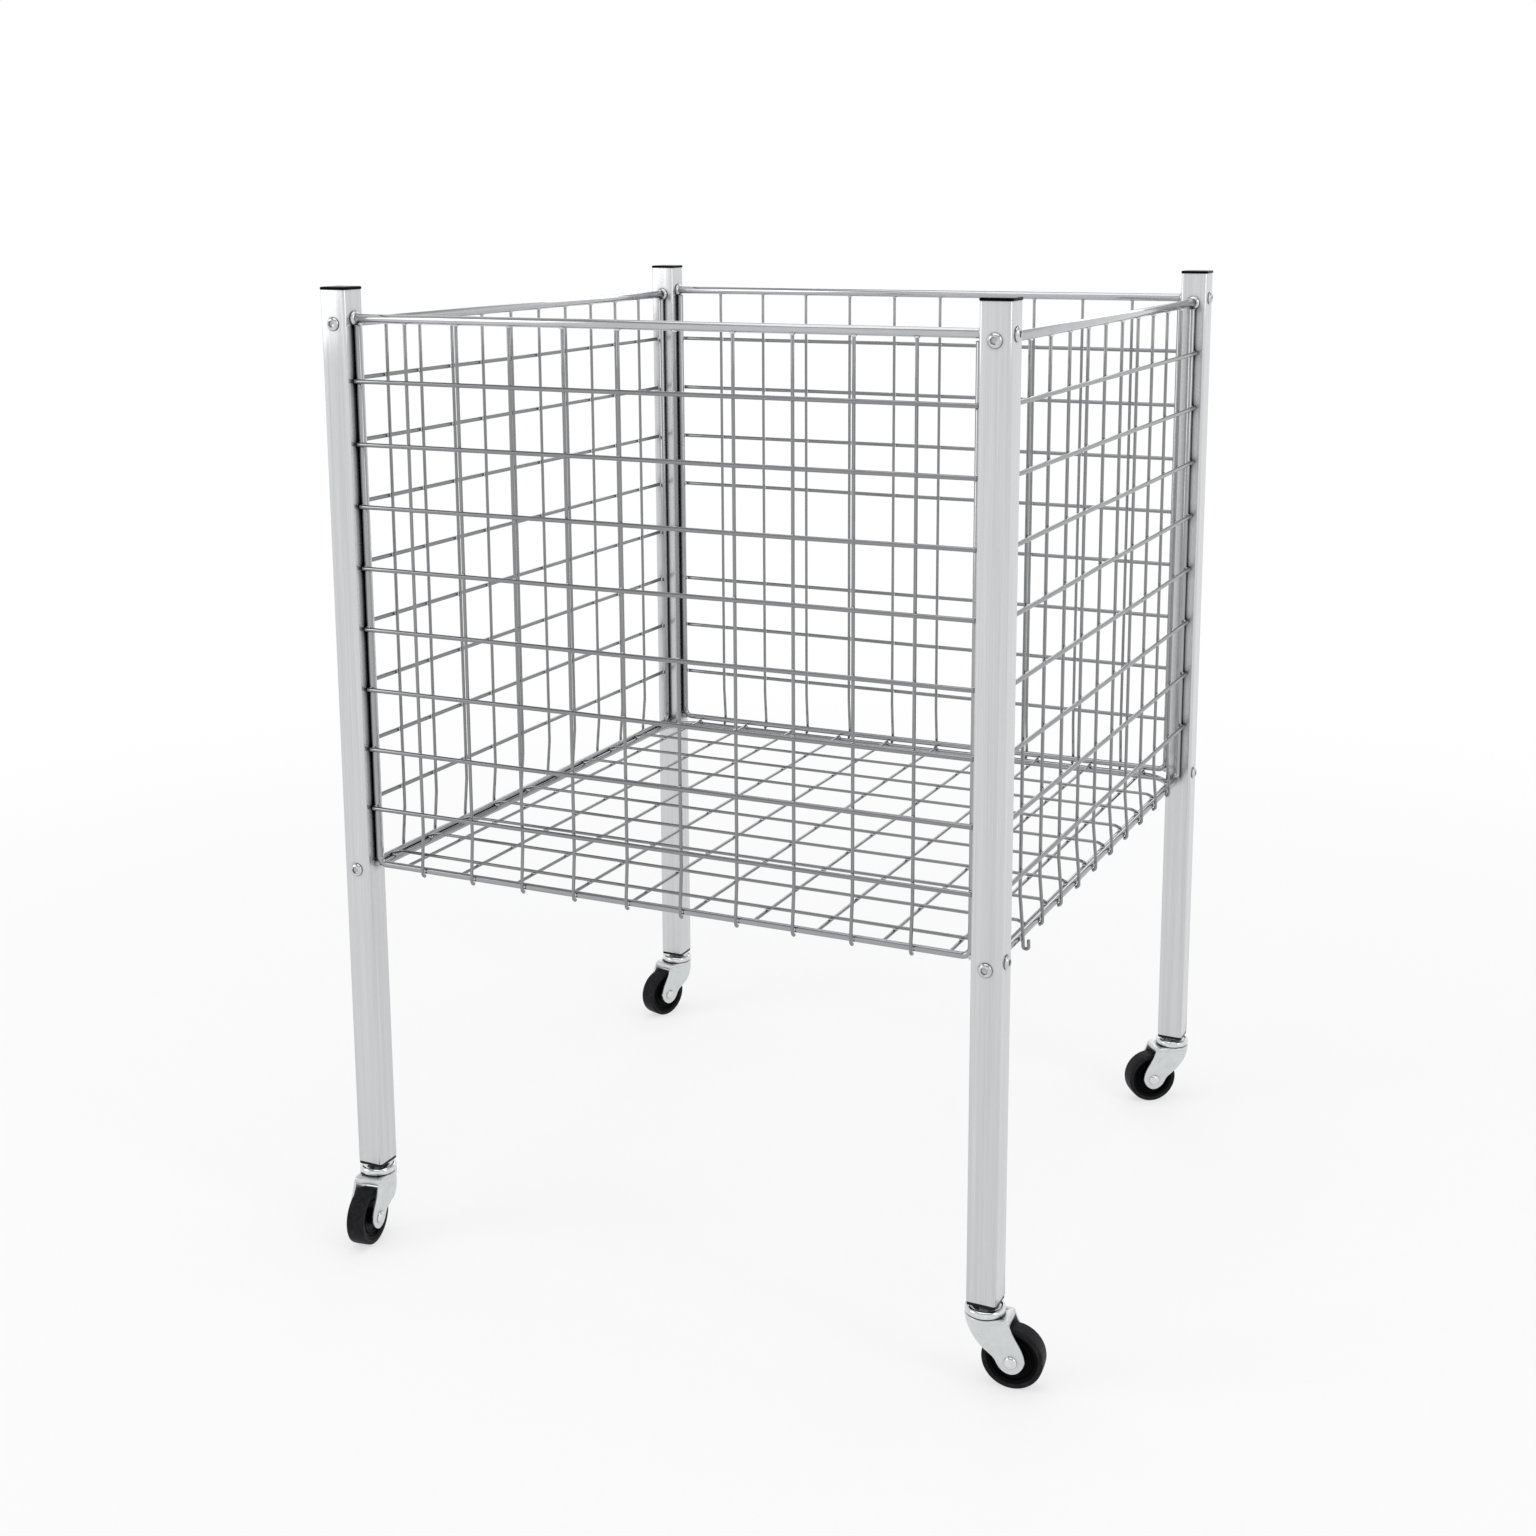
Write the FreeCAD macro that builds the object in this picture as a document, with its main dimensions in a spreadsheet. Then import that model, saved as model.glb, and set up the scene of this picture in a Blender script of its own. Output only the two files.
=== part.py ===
import FreeCAD, Part
import math
import os
import Sketcher

# Mobile retail dump bin: four square tube posts on swivel casters carry four
# top rails, four welded wire panels and a welded wire floor.
# Frame: origin on the floor at the centre of the four posts, +Z up, the
# customer side faces -Y, right-hand side is +X.  Lengths in millimetres.

App = FreeCAD
V3 = App.Vector
doc = App.newDocument("DumpBin")

# ---------------------------------------------------------------- sizes
DIMS = [
    ("post_side", 26.0, "outside of the square post tube"),
    ("post_wall", 1.5, "post tube wall"),
    ("post_corner", 2.5, "post outside corner radius"),
    ("post_length", 812.0, "post tube length"),
    ("post_foot", 73.0, "height of the lower end of the posts"),
    ("pitch_x", 605.0, "post centre to post centre, left to right"),
    ("pitch_y", 605.0, "post centre to post centre, front to back"),
    ("cap_side", 27.2, "post cap outside"),
    ("cap_thick", 2.5, "post cap plate thickness"),
    ("cap_corner", 3.0, "post cap corner radius"),
    ("cap_edge", 1.0, "rounding of the cap's upper edge"),
    ("spigot_side", 21.9, "square spigot inside the tube"),
    ("spigot_bore", 19.0, "hollow of the cap spigot"),
    ("spigot_depth", 12.0, "depth of the cap spigot"),
    ("plug_depth", 30.0, "depth of the foot plug inside the tube"),
    ("plug_flange", 2.6, "foot plug flange thickness"),
    ("plug_side", 25.4, "foot plug flange side"),
    ("plug_bore", 4.05, "radius of the foot plug's stem hole"),
    ("rail_rad", 4.0, "top rail radius"),
    ("rail_front_z", 860.0, "axis height of the front and back top rails"),
    ("rail_side_z", 855.6, "axis height of the side top rails"),
    ("rail_bore", 2.05, "radius of the threaded rail end"),
    ("rail_bore_depth", 14.0, "depth of the threaded rail end"),
    ("collar_rad", 6.5, "radius of the domed collar at a rail end"),
    ("collar_long", 3.4, "length of the domed collar"),
    ("screw_rad", 1.95, "radius of the screw shank"),
    ("screw_long", 34.0, "length under the head of the rail screws"),
    ("screw_foot_long", 27.7, "length under the head of the lower screws"),
    ("screw_head", 6.0, "radius of the button head"),
    ("screw_head_high", 3.2, "height of the button head"),
    ("socket_rad", 2.0, "corner radius of the hexagon socket"),
    ("socket_deep", 2.0, "depth of the hexagon socket"),
    ("screw_hole", 2.1, "radius of the cross holes in a post"),
    ("frame_rad", 3.0, "panel frame rod radius"),
    ("frame_bend", 8.0, "bend radius of the panel frame, on its axis"),
    ("frame_gap", 3.4, "axis of a frame upright to the post face"),
    ("foot_front_z", 365.0, "axis height of the front and back lower rods"),
    ("foot_side_z", 360.6, "axis height of the side lower rods"),
    ("butt", 0.1, "clearance between a butted end and the rail"),
    ("boss_rad", 3.0, "radius of the boss between post and frame"),
    ("boss_long", 5.0, "length of the boss before it is saddled"),
    ("wire_rad", 2.0, "radius of the horizontal wires"),
    ("wire_half", 288.5, "half length of the horizontal wires"),
    ("wire_top_z", 805.5, "axis height of the uppermost horizontal wire"),
    ("wire_pitch", 55.3, "spacing of the horizontal wires"),
    ("wire_count", 8, "horizontal wires in one panel"),
    ("rod_rad", 1.5, "radius of the upright wires and floor wires"),
    ("rod_pitch", 52.44, "spacing of the upright wires"),
    ("rod_count", 10, "upright wires in one panel"),
    ("hook_deep", 8.1, "drop of the hooked wire below the lower rod"),
    ("wire_step", 38.0, "height over the lower rod where an upright wire starts to step out"),
    ("floor_z", 357.3, "axis height of the floor frame rod"),
    ("floor_half_x", 297.1, "floor frame half width"),
    ("floor_back", 298.5, "axis of the floor frame's back run"),
    ("floor_front", 288.9, "front ends of the floor frame"),
    ("floor_bend", 36.0, "radius of the floor frame's back corners"),
    ("floor_pitch", 58.6, "spacing of the floor wires"),
    ("floor_count", 10, "floor wires each way"),
    ("wheel_rad", 26.0, "caster wheel radius"),
    ("tread_half", 8.5, "half width of the tread"),
    ("rim_rad", 21.6, "radius where the tyre sits on the wheel"),
    ("hub_half", 10.9, "half length of the wheel hub"),
    ("hub_rad", 6.6, "radius of the wheel hub"),
    ("web_half", 4.6, "half thickness of the wheel web"),
    ("wheel_bore", 3.08, "wheel bore radius"),
    ("axle_rad", 3.0, "axle radius"),
    ("axle_hole", 3.05, "hole in the fork legs for the axle"),
    ("axle_head", 5.6, "radius of the domed axle head"),
    ("axle_head_high", 3.0, "height of the domed axle head"),
    ("trail", 24.5, "swivel axis to wheel axle"),
    ("fork_top", 61.2, "top of the fork crown"),
    ("fork_thick", 2.2, "sheet thickness of the fork"),
    ("fork_drum", 16.6, "radius of the round part of the fork"),
    ("fork_flat", 13.3, "half width over the flat fork legs"),
    ("fork_rim", 0.5, "step of the crown rim beyond the legs"),
    ("fork_rim_z", 57.7, "lower edge of the crown rim"),
    ("fork_lobe", 11.5, "radius of the rounded end of a leg"),
    ("fork_tail", 22.7, "swivel axis to the trailing edge of the crown"),
    ("fork_lip_z", 56.0, "lower edge of the trailing lip"),
    ("race_rad", 10.2, "radius of the inner race on the crown"),
    ("race_high", 3.0, "height of the inner race"),
    ("pin_rad", 4.0, "radius of the caster stem"),
    ("pin_bore", 4.05, "bore of the fork crown and cup for the stem"),
    ("stem_top", 98.0, "top end of the caster stem"),
    ("rivet_rad", 6.5, "radius of the head under the crown"),
    ("cup_rad", 16.5, "outer radius of the bearing cup"),
    ("cup_foot", 61.8, "lower edge of the bearing cup"),
    ("cup_top", 67.7, "upper edge of the bearing cup"),
    ("ball_rad", 1.6, "bearing ball radius"),
    ("ball_ring", 12.6, "pitch radius of the bearing balls"),
    ("ball_z", 62.95, "height of the ball centres"),
    ("ball_count", 14, "balls in one swivel bearing"),
    ("head_fl", -82.0, "heading of the front left caster, degrees"),
    ("head_fr", 6.0, "heading of the front right caster, degrees"),
    ("head_bl", -108.0, "heading of the back left caster, degrees"),
    ("head_br", -142.0, "heading of the back right caster, degrees"),
]

sheet = doc.addObject("Spreadsheet::Sheet", "Dims")
for row, (alias, value, note) in enumerate(DIMS, start=1):
    sheet.set("A%d" % row, note)
    sheet.set("B%d" % row, str(value))
    sheet.setAlias("B%d" % row, alias)
doc.recompute()


class Q:
    """A size that carries its number and its spreadsheet expression."""

    def __init__(self, val, text=None):
        self.val = float(val)
        self.text = text if text is not None else repr(float(val))

    @staticmethod
    def of(a):
        return a if isinstance(a, Q) else Q(a)

    def __add__(self, b):
        b = Q.of(b)
        return Q(self.val + b.val, "(%s + %s)" % (self.text, b.text))

    def __radd__(self, b):
        return Q.of(b) + self

    def __sub__(self, b):
        b = Q.of(b)
        return Q(self.val - b.val, "(%s - %s)" % (self.text, b.text))

    def __rsub__(self, b):
        return Q.of(b) - self

    def __mul__(self, b):
        b = Q.of(b)
        return Q(self.val * b.val, "(%s * %s)" % (self.text, b.text))

    def __rmul__(self, b):
        return Q.of(b) * self

    def __truediv__(self, b):
        b = Q.of(b)
        return Q(self.val / b.val, "(%s / %s)" % (self.text, b.text))

    def __neg__(self):
        return Q(-self.val, "(0 - %s)" % self.text)


def D(alias):
    return Q(float(sheet.get(alias)), "Dims." + alias)


# ---------------------------------------------------------------- helpers
def new_body(name, many=False):
    body = doc.addObject("PartDesign::Body", name)
    body.Label = name
    if many:
        body.AllowCompound = True
    return body


def origin_item(body, role):
    for item in body.Origin.OriginFeatures:
        if item.Role == role:
            return item
    raise RuntimeError(role)


def new_sketch(body, name, role, offset=(0, 0, 0)):
    sk = body.newObject("Sketcher::SketchObject", name)
    sk.AttachmentSupport = [(origin_item(body, role), "")]
    sk.MapMode = "FlatFace"
    off = [Q.of(a) for a in offset]
    sk.AttachmentOffset = App.Placement(V3(*[a.val for a in off]), App.Rotation())
    for a, axis in zip(off, "xyz"):
        if a.val != 0.0:
            sk.setExpression("AttachmentOffset.Base." + axis, a.text)
    return sk


def pin_xy(sk, geo, pos, x, y):
    """Fix one point of the sketch at two bound distances from its origin."""
    for kind, q in (("DistanceX", Q.of(x)), ("DistanceY", Q.of(y))):
        if abs(q.val) < 1e-9 and not q.text.startswith("Dims"):
            axis = -2 if kind == "DistanceX" else -1
            sk.addConstraint(Sketcher.Constraint("PointOnObject", geo, pos, axis))
            continue
        n = sk.addConstraint(Sketcher.Constraint(kind, -1, 1, geo, pos, q.val))
        sk.setExpression("Constraints[%d]" % n, q.text)


def polygon(sk, pts):
    """Closed polygon whose corners are all bound to the sheet."""
    pts = [(Q.of(a), Q.of(b)) for a, b in pts]
    first = None
    ids = []
    for i, (x, y) in enumerate(pts):
        u, v = pts[(i + 1) % len(pts)]
        g = sk.addGeometry(Part.LineSegment(V3(x.val, y.val, 0), V3(u.val, v.val, 0)), False)
        ids.append(g)
        first = g if first is None else first
    for i, g in enumerate(ids):
        sk.addConstraint(Sketcher.Constraint("Coincident", g, 2, ids[(i + 1) % len(ids)], 1))
    for g, (x, y) in zip(ids, pts):
        pin_xy(sk, g, 1, x, y)
    return ids


def square(sk, half_x, half_y=None):
    hx = Q.of(half_x)
    hy = Q.of(half_y) if half_y is not None else hx
    return polygon(sk, [(-hx, -hy), (hx, -hy), (hx, hy), (-hx, hy)])


def circle(sk, x, y, r):
    x, y, r = Q.of(x), Q.of(y), Q.of(r)
    g = sk.addGeometry(Part.Circle(V3(x.val, y.val, 0), V3(0, 0, 1), r.val), False)
    pin_xy(sk, g, 3, x, y)
    n = sk.addConstraint(Sketcher.Constraint("Radius", g, r.val))
    sk.setExpression("Constraints[%d]" % n, r.text)
    return g


def bent_path(sk, pts, rads, closed=False):
    """Straight runs between the corner points, joined by tangent arcs."""
    P = [(Q.of(a), Q.of(b)) for a, b in pts]
    n = len(P)
    val = [V3(a.val, b.val, 0) for a, b in P]
    corner = {}
    order = range(n) if closed else range(1, n - 1)
    for k, i in enumerate(order):
        a, b, c = val[i - 1], val[i], val[(i + 1) % n]
        u, w = (a - b).normalize(), (c - b).normalize()
        half = u.getAngle(w) / 2
        r = Q.of(rads[k])
        cut = r.val / math.tan(half)
        mid = (u + w).normalize() * (r.val / math.sin(half)) + b
        corner[i] = (b + u * cut, b + w * cut, mid, r)
    lines, arcs = [], {}
    count = n if closed else n - 1
    for i in range(count):
        j = (i + 1) % n
        p = corner[i][1] if i in corner else val[i]
        q = corner[j][0] if j in corner else val[j]
        lines.append(sk.addGeometry(Part.LineSegment(p, q), False))
    for i, (p, q, mid, r) in corner.items():
        # sketch arcs always run anticlockwise, so a right-hand turn is drawn
        # from its far end
        ap = math.atan2(p.y - mid.y, p.x - mid.x)
        aq = math.atan2(q.y - mid.y, q.x - mid.x)
        left = (p - mid).cross(q - mid).z > 0
        a0, a1 = (ap, aq) if left else (aq, ap)
        if a1 < a0:
            a1 += 2 * math.pi
        g = sk.addGeometry(Part.ArcOfCircle(Part.Circle(mid, V3(0, 0, 1), r.val), a0, a1), False)
        arcs[i] = g
        pa, pb = (1, 2) if left else (2, 1)
        before, after = lines[i - 1], lines[i]
        sk.addConstraint(Sketcher.Constraint("Tangent", before, 2, g, pa))
        sk.addConstraint(Sketcher.Constraint("Tangent", g, pb, after, 1))
        m = sk.addConstraint(Sketcher.Constraint("Radius", g, r.val))
        sk.setExpression("Constraints[%d]" % m, r.text)
    for i in range(n):
        if i in corner:
            g = sk.addGeometry(Part.Point(val[i]), True)
            pin_xy(sk, g, 1, P[i][0], P[i][1])
            sk.addConstraint(Sketcher.Constraint("PointOnObject", g, 1, lines[i - 1]))
            sk.addConstraint(Sketcher.Constraint("PointOnObject", g, 1, lines[i]))
        else:
            g, pos = (lines[i], 1) if i < n - 1 else (lines[i - 1], 2)
            pin_xy(sk, g, pos, P[i][0], P[i][1])
    return lines, arcs


def pad(body, name, sk, length, both=False, back=False):
    f = body.newObject("PartDesign::Pad", name)
    f.Profile = sk
    length = Q.of(length)
    f.Length = length.val
    f.setExpression("Length", length.text)
    f.Midplane = both
    f.Reversed = back
    return f


def pocket(body, name, sk, length, both=False, back=False):
    f = body.newObject("PartDesign::Pocket", name)
    f.Profile = sk
    length = Q.of(length)
    f.Length = length.val
    f.setExpression("Length", length.text)
    f.Midplane = both
    f.Reversed = back
    return f


def revolve(body, name, sk, axis):
    f = body.newObject("PartDesign::Revolution", name)
    f.Profile = sk
    f.ReferenceAxis = axis
    f.Angle = 360.0
    return f


def sweep(body, name, profile, path):
    f = body.newObject("PartDesign::AdditivePipe", name)
    f.Profile = profile
    f.Spine = (path, [])
    f.Mode = "Standard"
    return f


def line_pattern(body, name, feature, role, pitch, count):
    f = body.newObject("PartDesign::LinearPattern", name)
    f.Originals = [feature]
    f.Direction = (origin_item(body, role), [""])
    f.Mode = "Spacing"
    f.Offset = pitch.val
    f.setExpression("Offset", pitch.text)
    f.Occurrences = int(count.val)
    f.setExpression("Occurrences", count.text)
    body.Tip = f
    return f


def polar_pattern(body, name, feature, count):
    f = body.newObject("PartDesign::PolarPattern", name)
    f.Originals = [feature]
    f.Axis = (origin_item(body, "Z_Axis"), [""])
    f.Angle = 360.0
    f.Occurrences = int(count.val)
    f.setExpression("Occurrences", count.text)
    body.Tip = f
    return f


def fillet(body, name, base, edges, radius):
    radius = Q.of(radius)
    f = body.newObject("PartDesign::Fillet", name)
    f.Base = (base, edges)
    f.Radius = radius.val
    f.setExpression("Radius", radius.text)
    return f


def chamfer(body, name, base, edges, size):
    size = Q.of(size)
    f = body.newObject("PartDesign::Chamfer", name)
    f.Base = (base, edges)
    f.Size = size.val
    f.setExpression("Size", size.text)
    return f


def edges_where(feature, test):
    out = []
    for i, e in enumerate(feature.Shape.Edges, start=1):
        if test(e):
            out.append("Edge%d" % i)
    return out


def upright(e):
    a, b = e.Vertexes[0].Point, e.Vertexes[-1].Point
    return abs(a.x - b.x) < 1e-6 and abs(a.y - b.y) < 1e-6 and abs(a.z - b.z) > 0.5


def place(obj, x, y, z, turn=0.0):
    """Put an object at bound coordinates, turned about +Z."""
    x, y, z, turn = Q.of(x), Q.of(y), Q.of(z), Q.of(turn)
    obj.Placement = App.Placement(V3(x.val, y.val, z.val), App.Rotation(V3(0, 0, 1), turn.val))
    for q, axis in ((x, "x"), (y, "y"), (z, "z")):
        if "Dims" in q.text:
            obj.setExpression("Placement.Base." + axis, q.text)
    if "Dims" in turn.text:
        obj.setExpression("Placement.Rotation.Angle", turn.text)


HX = D("pitch_x") / 2
HY = D("pitch_y") / 2
FACE_X = HX - D("post_side") / 2      # inner faces of the posts
FACE_Y = HY - D("post_side") / 2
CORNERS = {
    "front_left": (-1, -1, "head_fl"),
    "front_right": (1, -1, "head_fr"),
    "back_left": (-1, 1, "head_bl"),
    "back_right": (1, 1, "head_br"),
}
# A panel is drawn facing -Y about its own middle and turned into place.
PANELS = {
    "front": (0, -1, 0.0),
    "right": (1, 0, 90.0),
    "back": (0, 1, 180.0),
    "left": (-1, 0, 270.0),
}
nodes = []


def node(obj):
    nodes.append(obj)
    return obj


def sx_of(s, q):
    return q if s > 0 else -q


# ---------------------------------------------------------------- posts
def make_post(name, sx, sy):
    b = new_body(name)
    sk = new_sketch(b, name + "_outline", "XY_Plane")
    square(sk, D("post_side") / 2)
    p = pad(b, name + "_tube", sk, D("post_length"))
    doc.recompute()
    f = fillet(b, name + "_corners", p, edges_where(p, upright), D("post_corner"))
    sk = new_sketch(b, name + "_inside", "XY_Plane")
    square(sk, D("post_side") / 2 - D("post_wall"))
    q = pocket(b, name + "_bore", sk, D("post_length"), back=True)
    doc.recompute()
    inner = (D("post_side") / 2 - D("post_wall")).val
    f = fillet(b, name + "_inner_corners", q,
               edges_where(q, lambda e: upright(e) and abs(abs(e.Vertexes[0].Point.x) - inner) < 1e-4
                           and abs(abs(e.Vertexes[0].Point.y) - inner) < 1e-4),
               D("post_corner") - D("post_wall"))
    # Cross holes: the screws of the front and back rails run along X, those
    # of the side rails run along Y just below them.
    sk = new_sketch(b, name + "_holes_x", "YZ_Plane")
    circle(sk, 0, D("rail_front_z") - D("post_foot"), D("screw_hole"))
    circle(sk, 0, D("foot_front_z") - D("post_foot"), D("screw_hole"))
    pocket(b, name + "_drill_x", sk, D("post_side") * 2, both=True)
    sk = new_sketch(b, name + "_holes_y", "XZ_Plane")
    circle(sk, 0, D("rail_side_z") - D("post_foot"), D("screw_hole"))
    circle(sk, 0, D("foot_side_z") - D("post_foot"), D("screw_hole"))
    pocket(b, name + "_drill_y", sk, D("post_side") * 2, both=True)
    place(b, sx_of(sx, HX), sx_of(sy, HY), D("post_foot"))
    return b


def make_cap(name, sx, sy):
    b = new_body(name)
    sk = new_sketch(b, name + "_outline", "XY_Plane")
    square(sk, D("cap_side") / 2)
    p = pad(b, name + "_plate", sk, D("cap_thick"))
    doc.recompute()
    f = fillet(b, name + "_corners", p, edges_where(p, upright), D("cap_corner"))
    doc.recompute()
    top = D("cap_thick").val
    fillet(b, name + "_edge", f,
           edges_where(f, lambda e: all(abs(v.Point.z - top) < 1e-6 for v in e.Vertexes)),
           D("cap_edge"))
    sk = new_sketch(b, name + "_spigot_outline", "XY_Plane")
    square(sk, D("spigot_side") / 2)
    square(sk, D("spigot_bore") / 2)
    pad(b, name + "_spigot", sk, D("spigot_depth"), back=True)
    place(b, sx_of(sx, HX), sx_of(sy, HY), D("post_foot") + D("post_length"))
    return b


def make_plug(name, sx, sy):
    b = new_body(name)
    sk = new_sketch(b, name + "_block", "XY_Plane")
    square(sk, D("spigot_side") / 2)
    pad(b, name + "_insert", sk, D("plug_depth"))
    sk = new_sketch(b, name + "_flange_outline", "XY_Plane")
    square(sk, D("plug_side") / 2)
    p = pad(b, name + "_flange", sk, D("plug_flange"), back=True)
    doc.recompute()
    half = (D("plug_side") / 2).val
    fillet(b, name + "_flange_corners", p,
           edges_where(p, lambda e: upright(e) and abs(abs(e.Vertexes[0].Point.x) - half) < 1e-4),
           D("post_corner"))
    sk = new_sketch(b, name + "_bore_outline", "XY_Plane")
    circle(sk, 0, 0, D("plug_bore"))
    pocket(b, name + "_bore", sk, D("plug_depth") * 2 + D("plug_flange") * 2, both=True)
    place(b, sx_of(sx, HX), sx_of(sy, HY), D("post_foot"))
    return b


for key, (sx, sy, head) in CORNERS.items():
    node(make_post("post_" + key, sx, sy))
    node(make_cap("post_cap_" + key, sx, sy))
plugs = [make_plug("plug_" + key, sx, sy) for key, (sx, sy, head) in CORNERS.items()]
group = doc.addObject("Part::Compound", "post_foot_plugs")
group.Label = "post_foot_plugs"
group.Links = plugs
node(group)


# ---------------------------------------------------------------- top rails
def rail_height(key):
    return D("rail_front_z") if key in ("front", "back") else D("rail_side_z")


def foot_height(key):
    return D("foot_front_z") if key in ("front", "back") else D("foot_side_z")


def panel_base(key):
    px, py, turn = PANELS[key]
    x = sx_of(px, HX) if px else Q(0)
    y = sx_of(py, HY) if py else Q(0)
    return x, y, turn


def span(key):
    return FACE_X if key in ("front", "back") else FACE_Y


collars, screws = [], []
for key in PANELS:
    x, y, turn = panel_base(key)
    name = "top_rail_" + key
    b = new_body(name)
    sk = new_sketch(b, name + "_section", "XZ_Plane")
    half, bore, deep = span(key), D("rail_bore"), D("rail_bore_depth")
    polygon(sk, [(-half, bore), (-half, D("rail_rad")), (half, D("rail_rad")), (half, bore),
                 (half - deep, bore), (half - deep, 0), (-(half - deep), 0), (-(half - deep), bore)])
    revolve(b, name + "_rod", sk, (origin_item(b, "X_Axis"), [""]))
    place(b, x, y, rail_height(key), turn)
    node(b)
    # Domed collars where the rail meets the posts.
    for side in (-1, 1):
        name = "collar_%s_%s" % (key, "a" if side < 0 else "b")
        b = new_body(name)
        sk = new_sketch(b, name + "_section", "XZ_Plane")
        r0, r1, w = D("rail_rad") + 0.02, D("collar_rad"), D("collar_long")
        e0 = sx_of(side, half)
        polygon(sk, [(e0, r0), (e0, r1), (e0 - side * (w * 0.45), r1),
                     (e0 - side * (w * 0.85), r1 - 0.9), (e0 - side * w, r0 + 0.7), (e0 - side * w, r0)])
        revolve(b, name + "_ring", sk, (origin_item(b, "X_Axis"), [""]))
        place(b, x, y, rail_height(key), turn)
        collars.append(b)
    # Button head screws through the posts, at the rail and at the lower rod.
    for level, height in (("top", rail_height(key)), ("foot", foot_height(key))):
        for side in (-1, 1):
            name = "screw_%s_%s_%s" % (key, level, "a" if side < 0 else "b")
            b = new_body(name)
            sk = new_sketch(b, name + "_section", "XZ_Plane")
            out = sx_of(side, half + D("post_side"))
            hh, hr, sr = D("screw_head_high"), D("screw_head"), D("screw_rad")
            run = D("screw_long") if level == "top" else D("screw_foot_long")
            polygon(sk, [(out + side * hh, 0), (out + side * hh, hr * 0.42),
                         (out + side * (hh * 0.86), hr * 0.68), (out + side * (hh * 0.55), hr * 0.89),
                         (out + side * (hh * 0.16), hr), (out, hr), (out, sr),
                         (out - side * run, sr), (out - side * run, 0)])
            revolve(b, name + "_turned", sk, (origin_item(b, "X_Axis"), [""]))
            sk = new_sketch(b, name + "_hexagon", "YZ_Plane", (0, 0, out + side * hh))
            s = D("socket_rad")
            polygon(sk, [(s * math.cos(math.radians(60 * i)), s * math.sin(math.radians(60 * i)))
                         for i in range(6)])
            pocket(b, name + "_socket", sk, D("socket_deep"), back=(side < 0))
            place(b, x, y, height, turn)
            screws.append(b)
group = doc.addObject("Part::Compound", "rail_end_collars")
group.Label = "rail_end_collars"
group.Links = collars
node(group)
group = doc.addObject("Part::Compound", "post_screws")
group.Label = "post_screws"
group.Links = screws
node(group)

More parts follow.
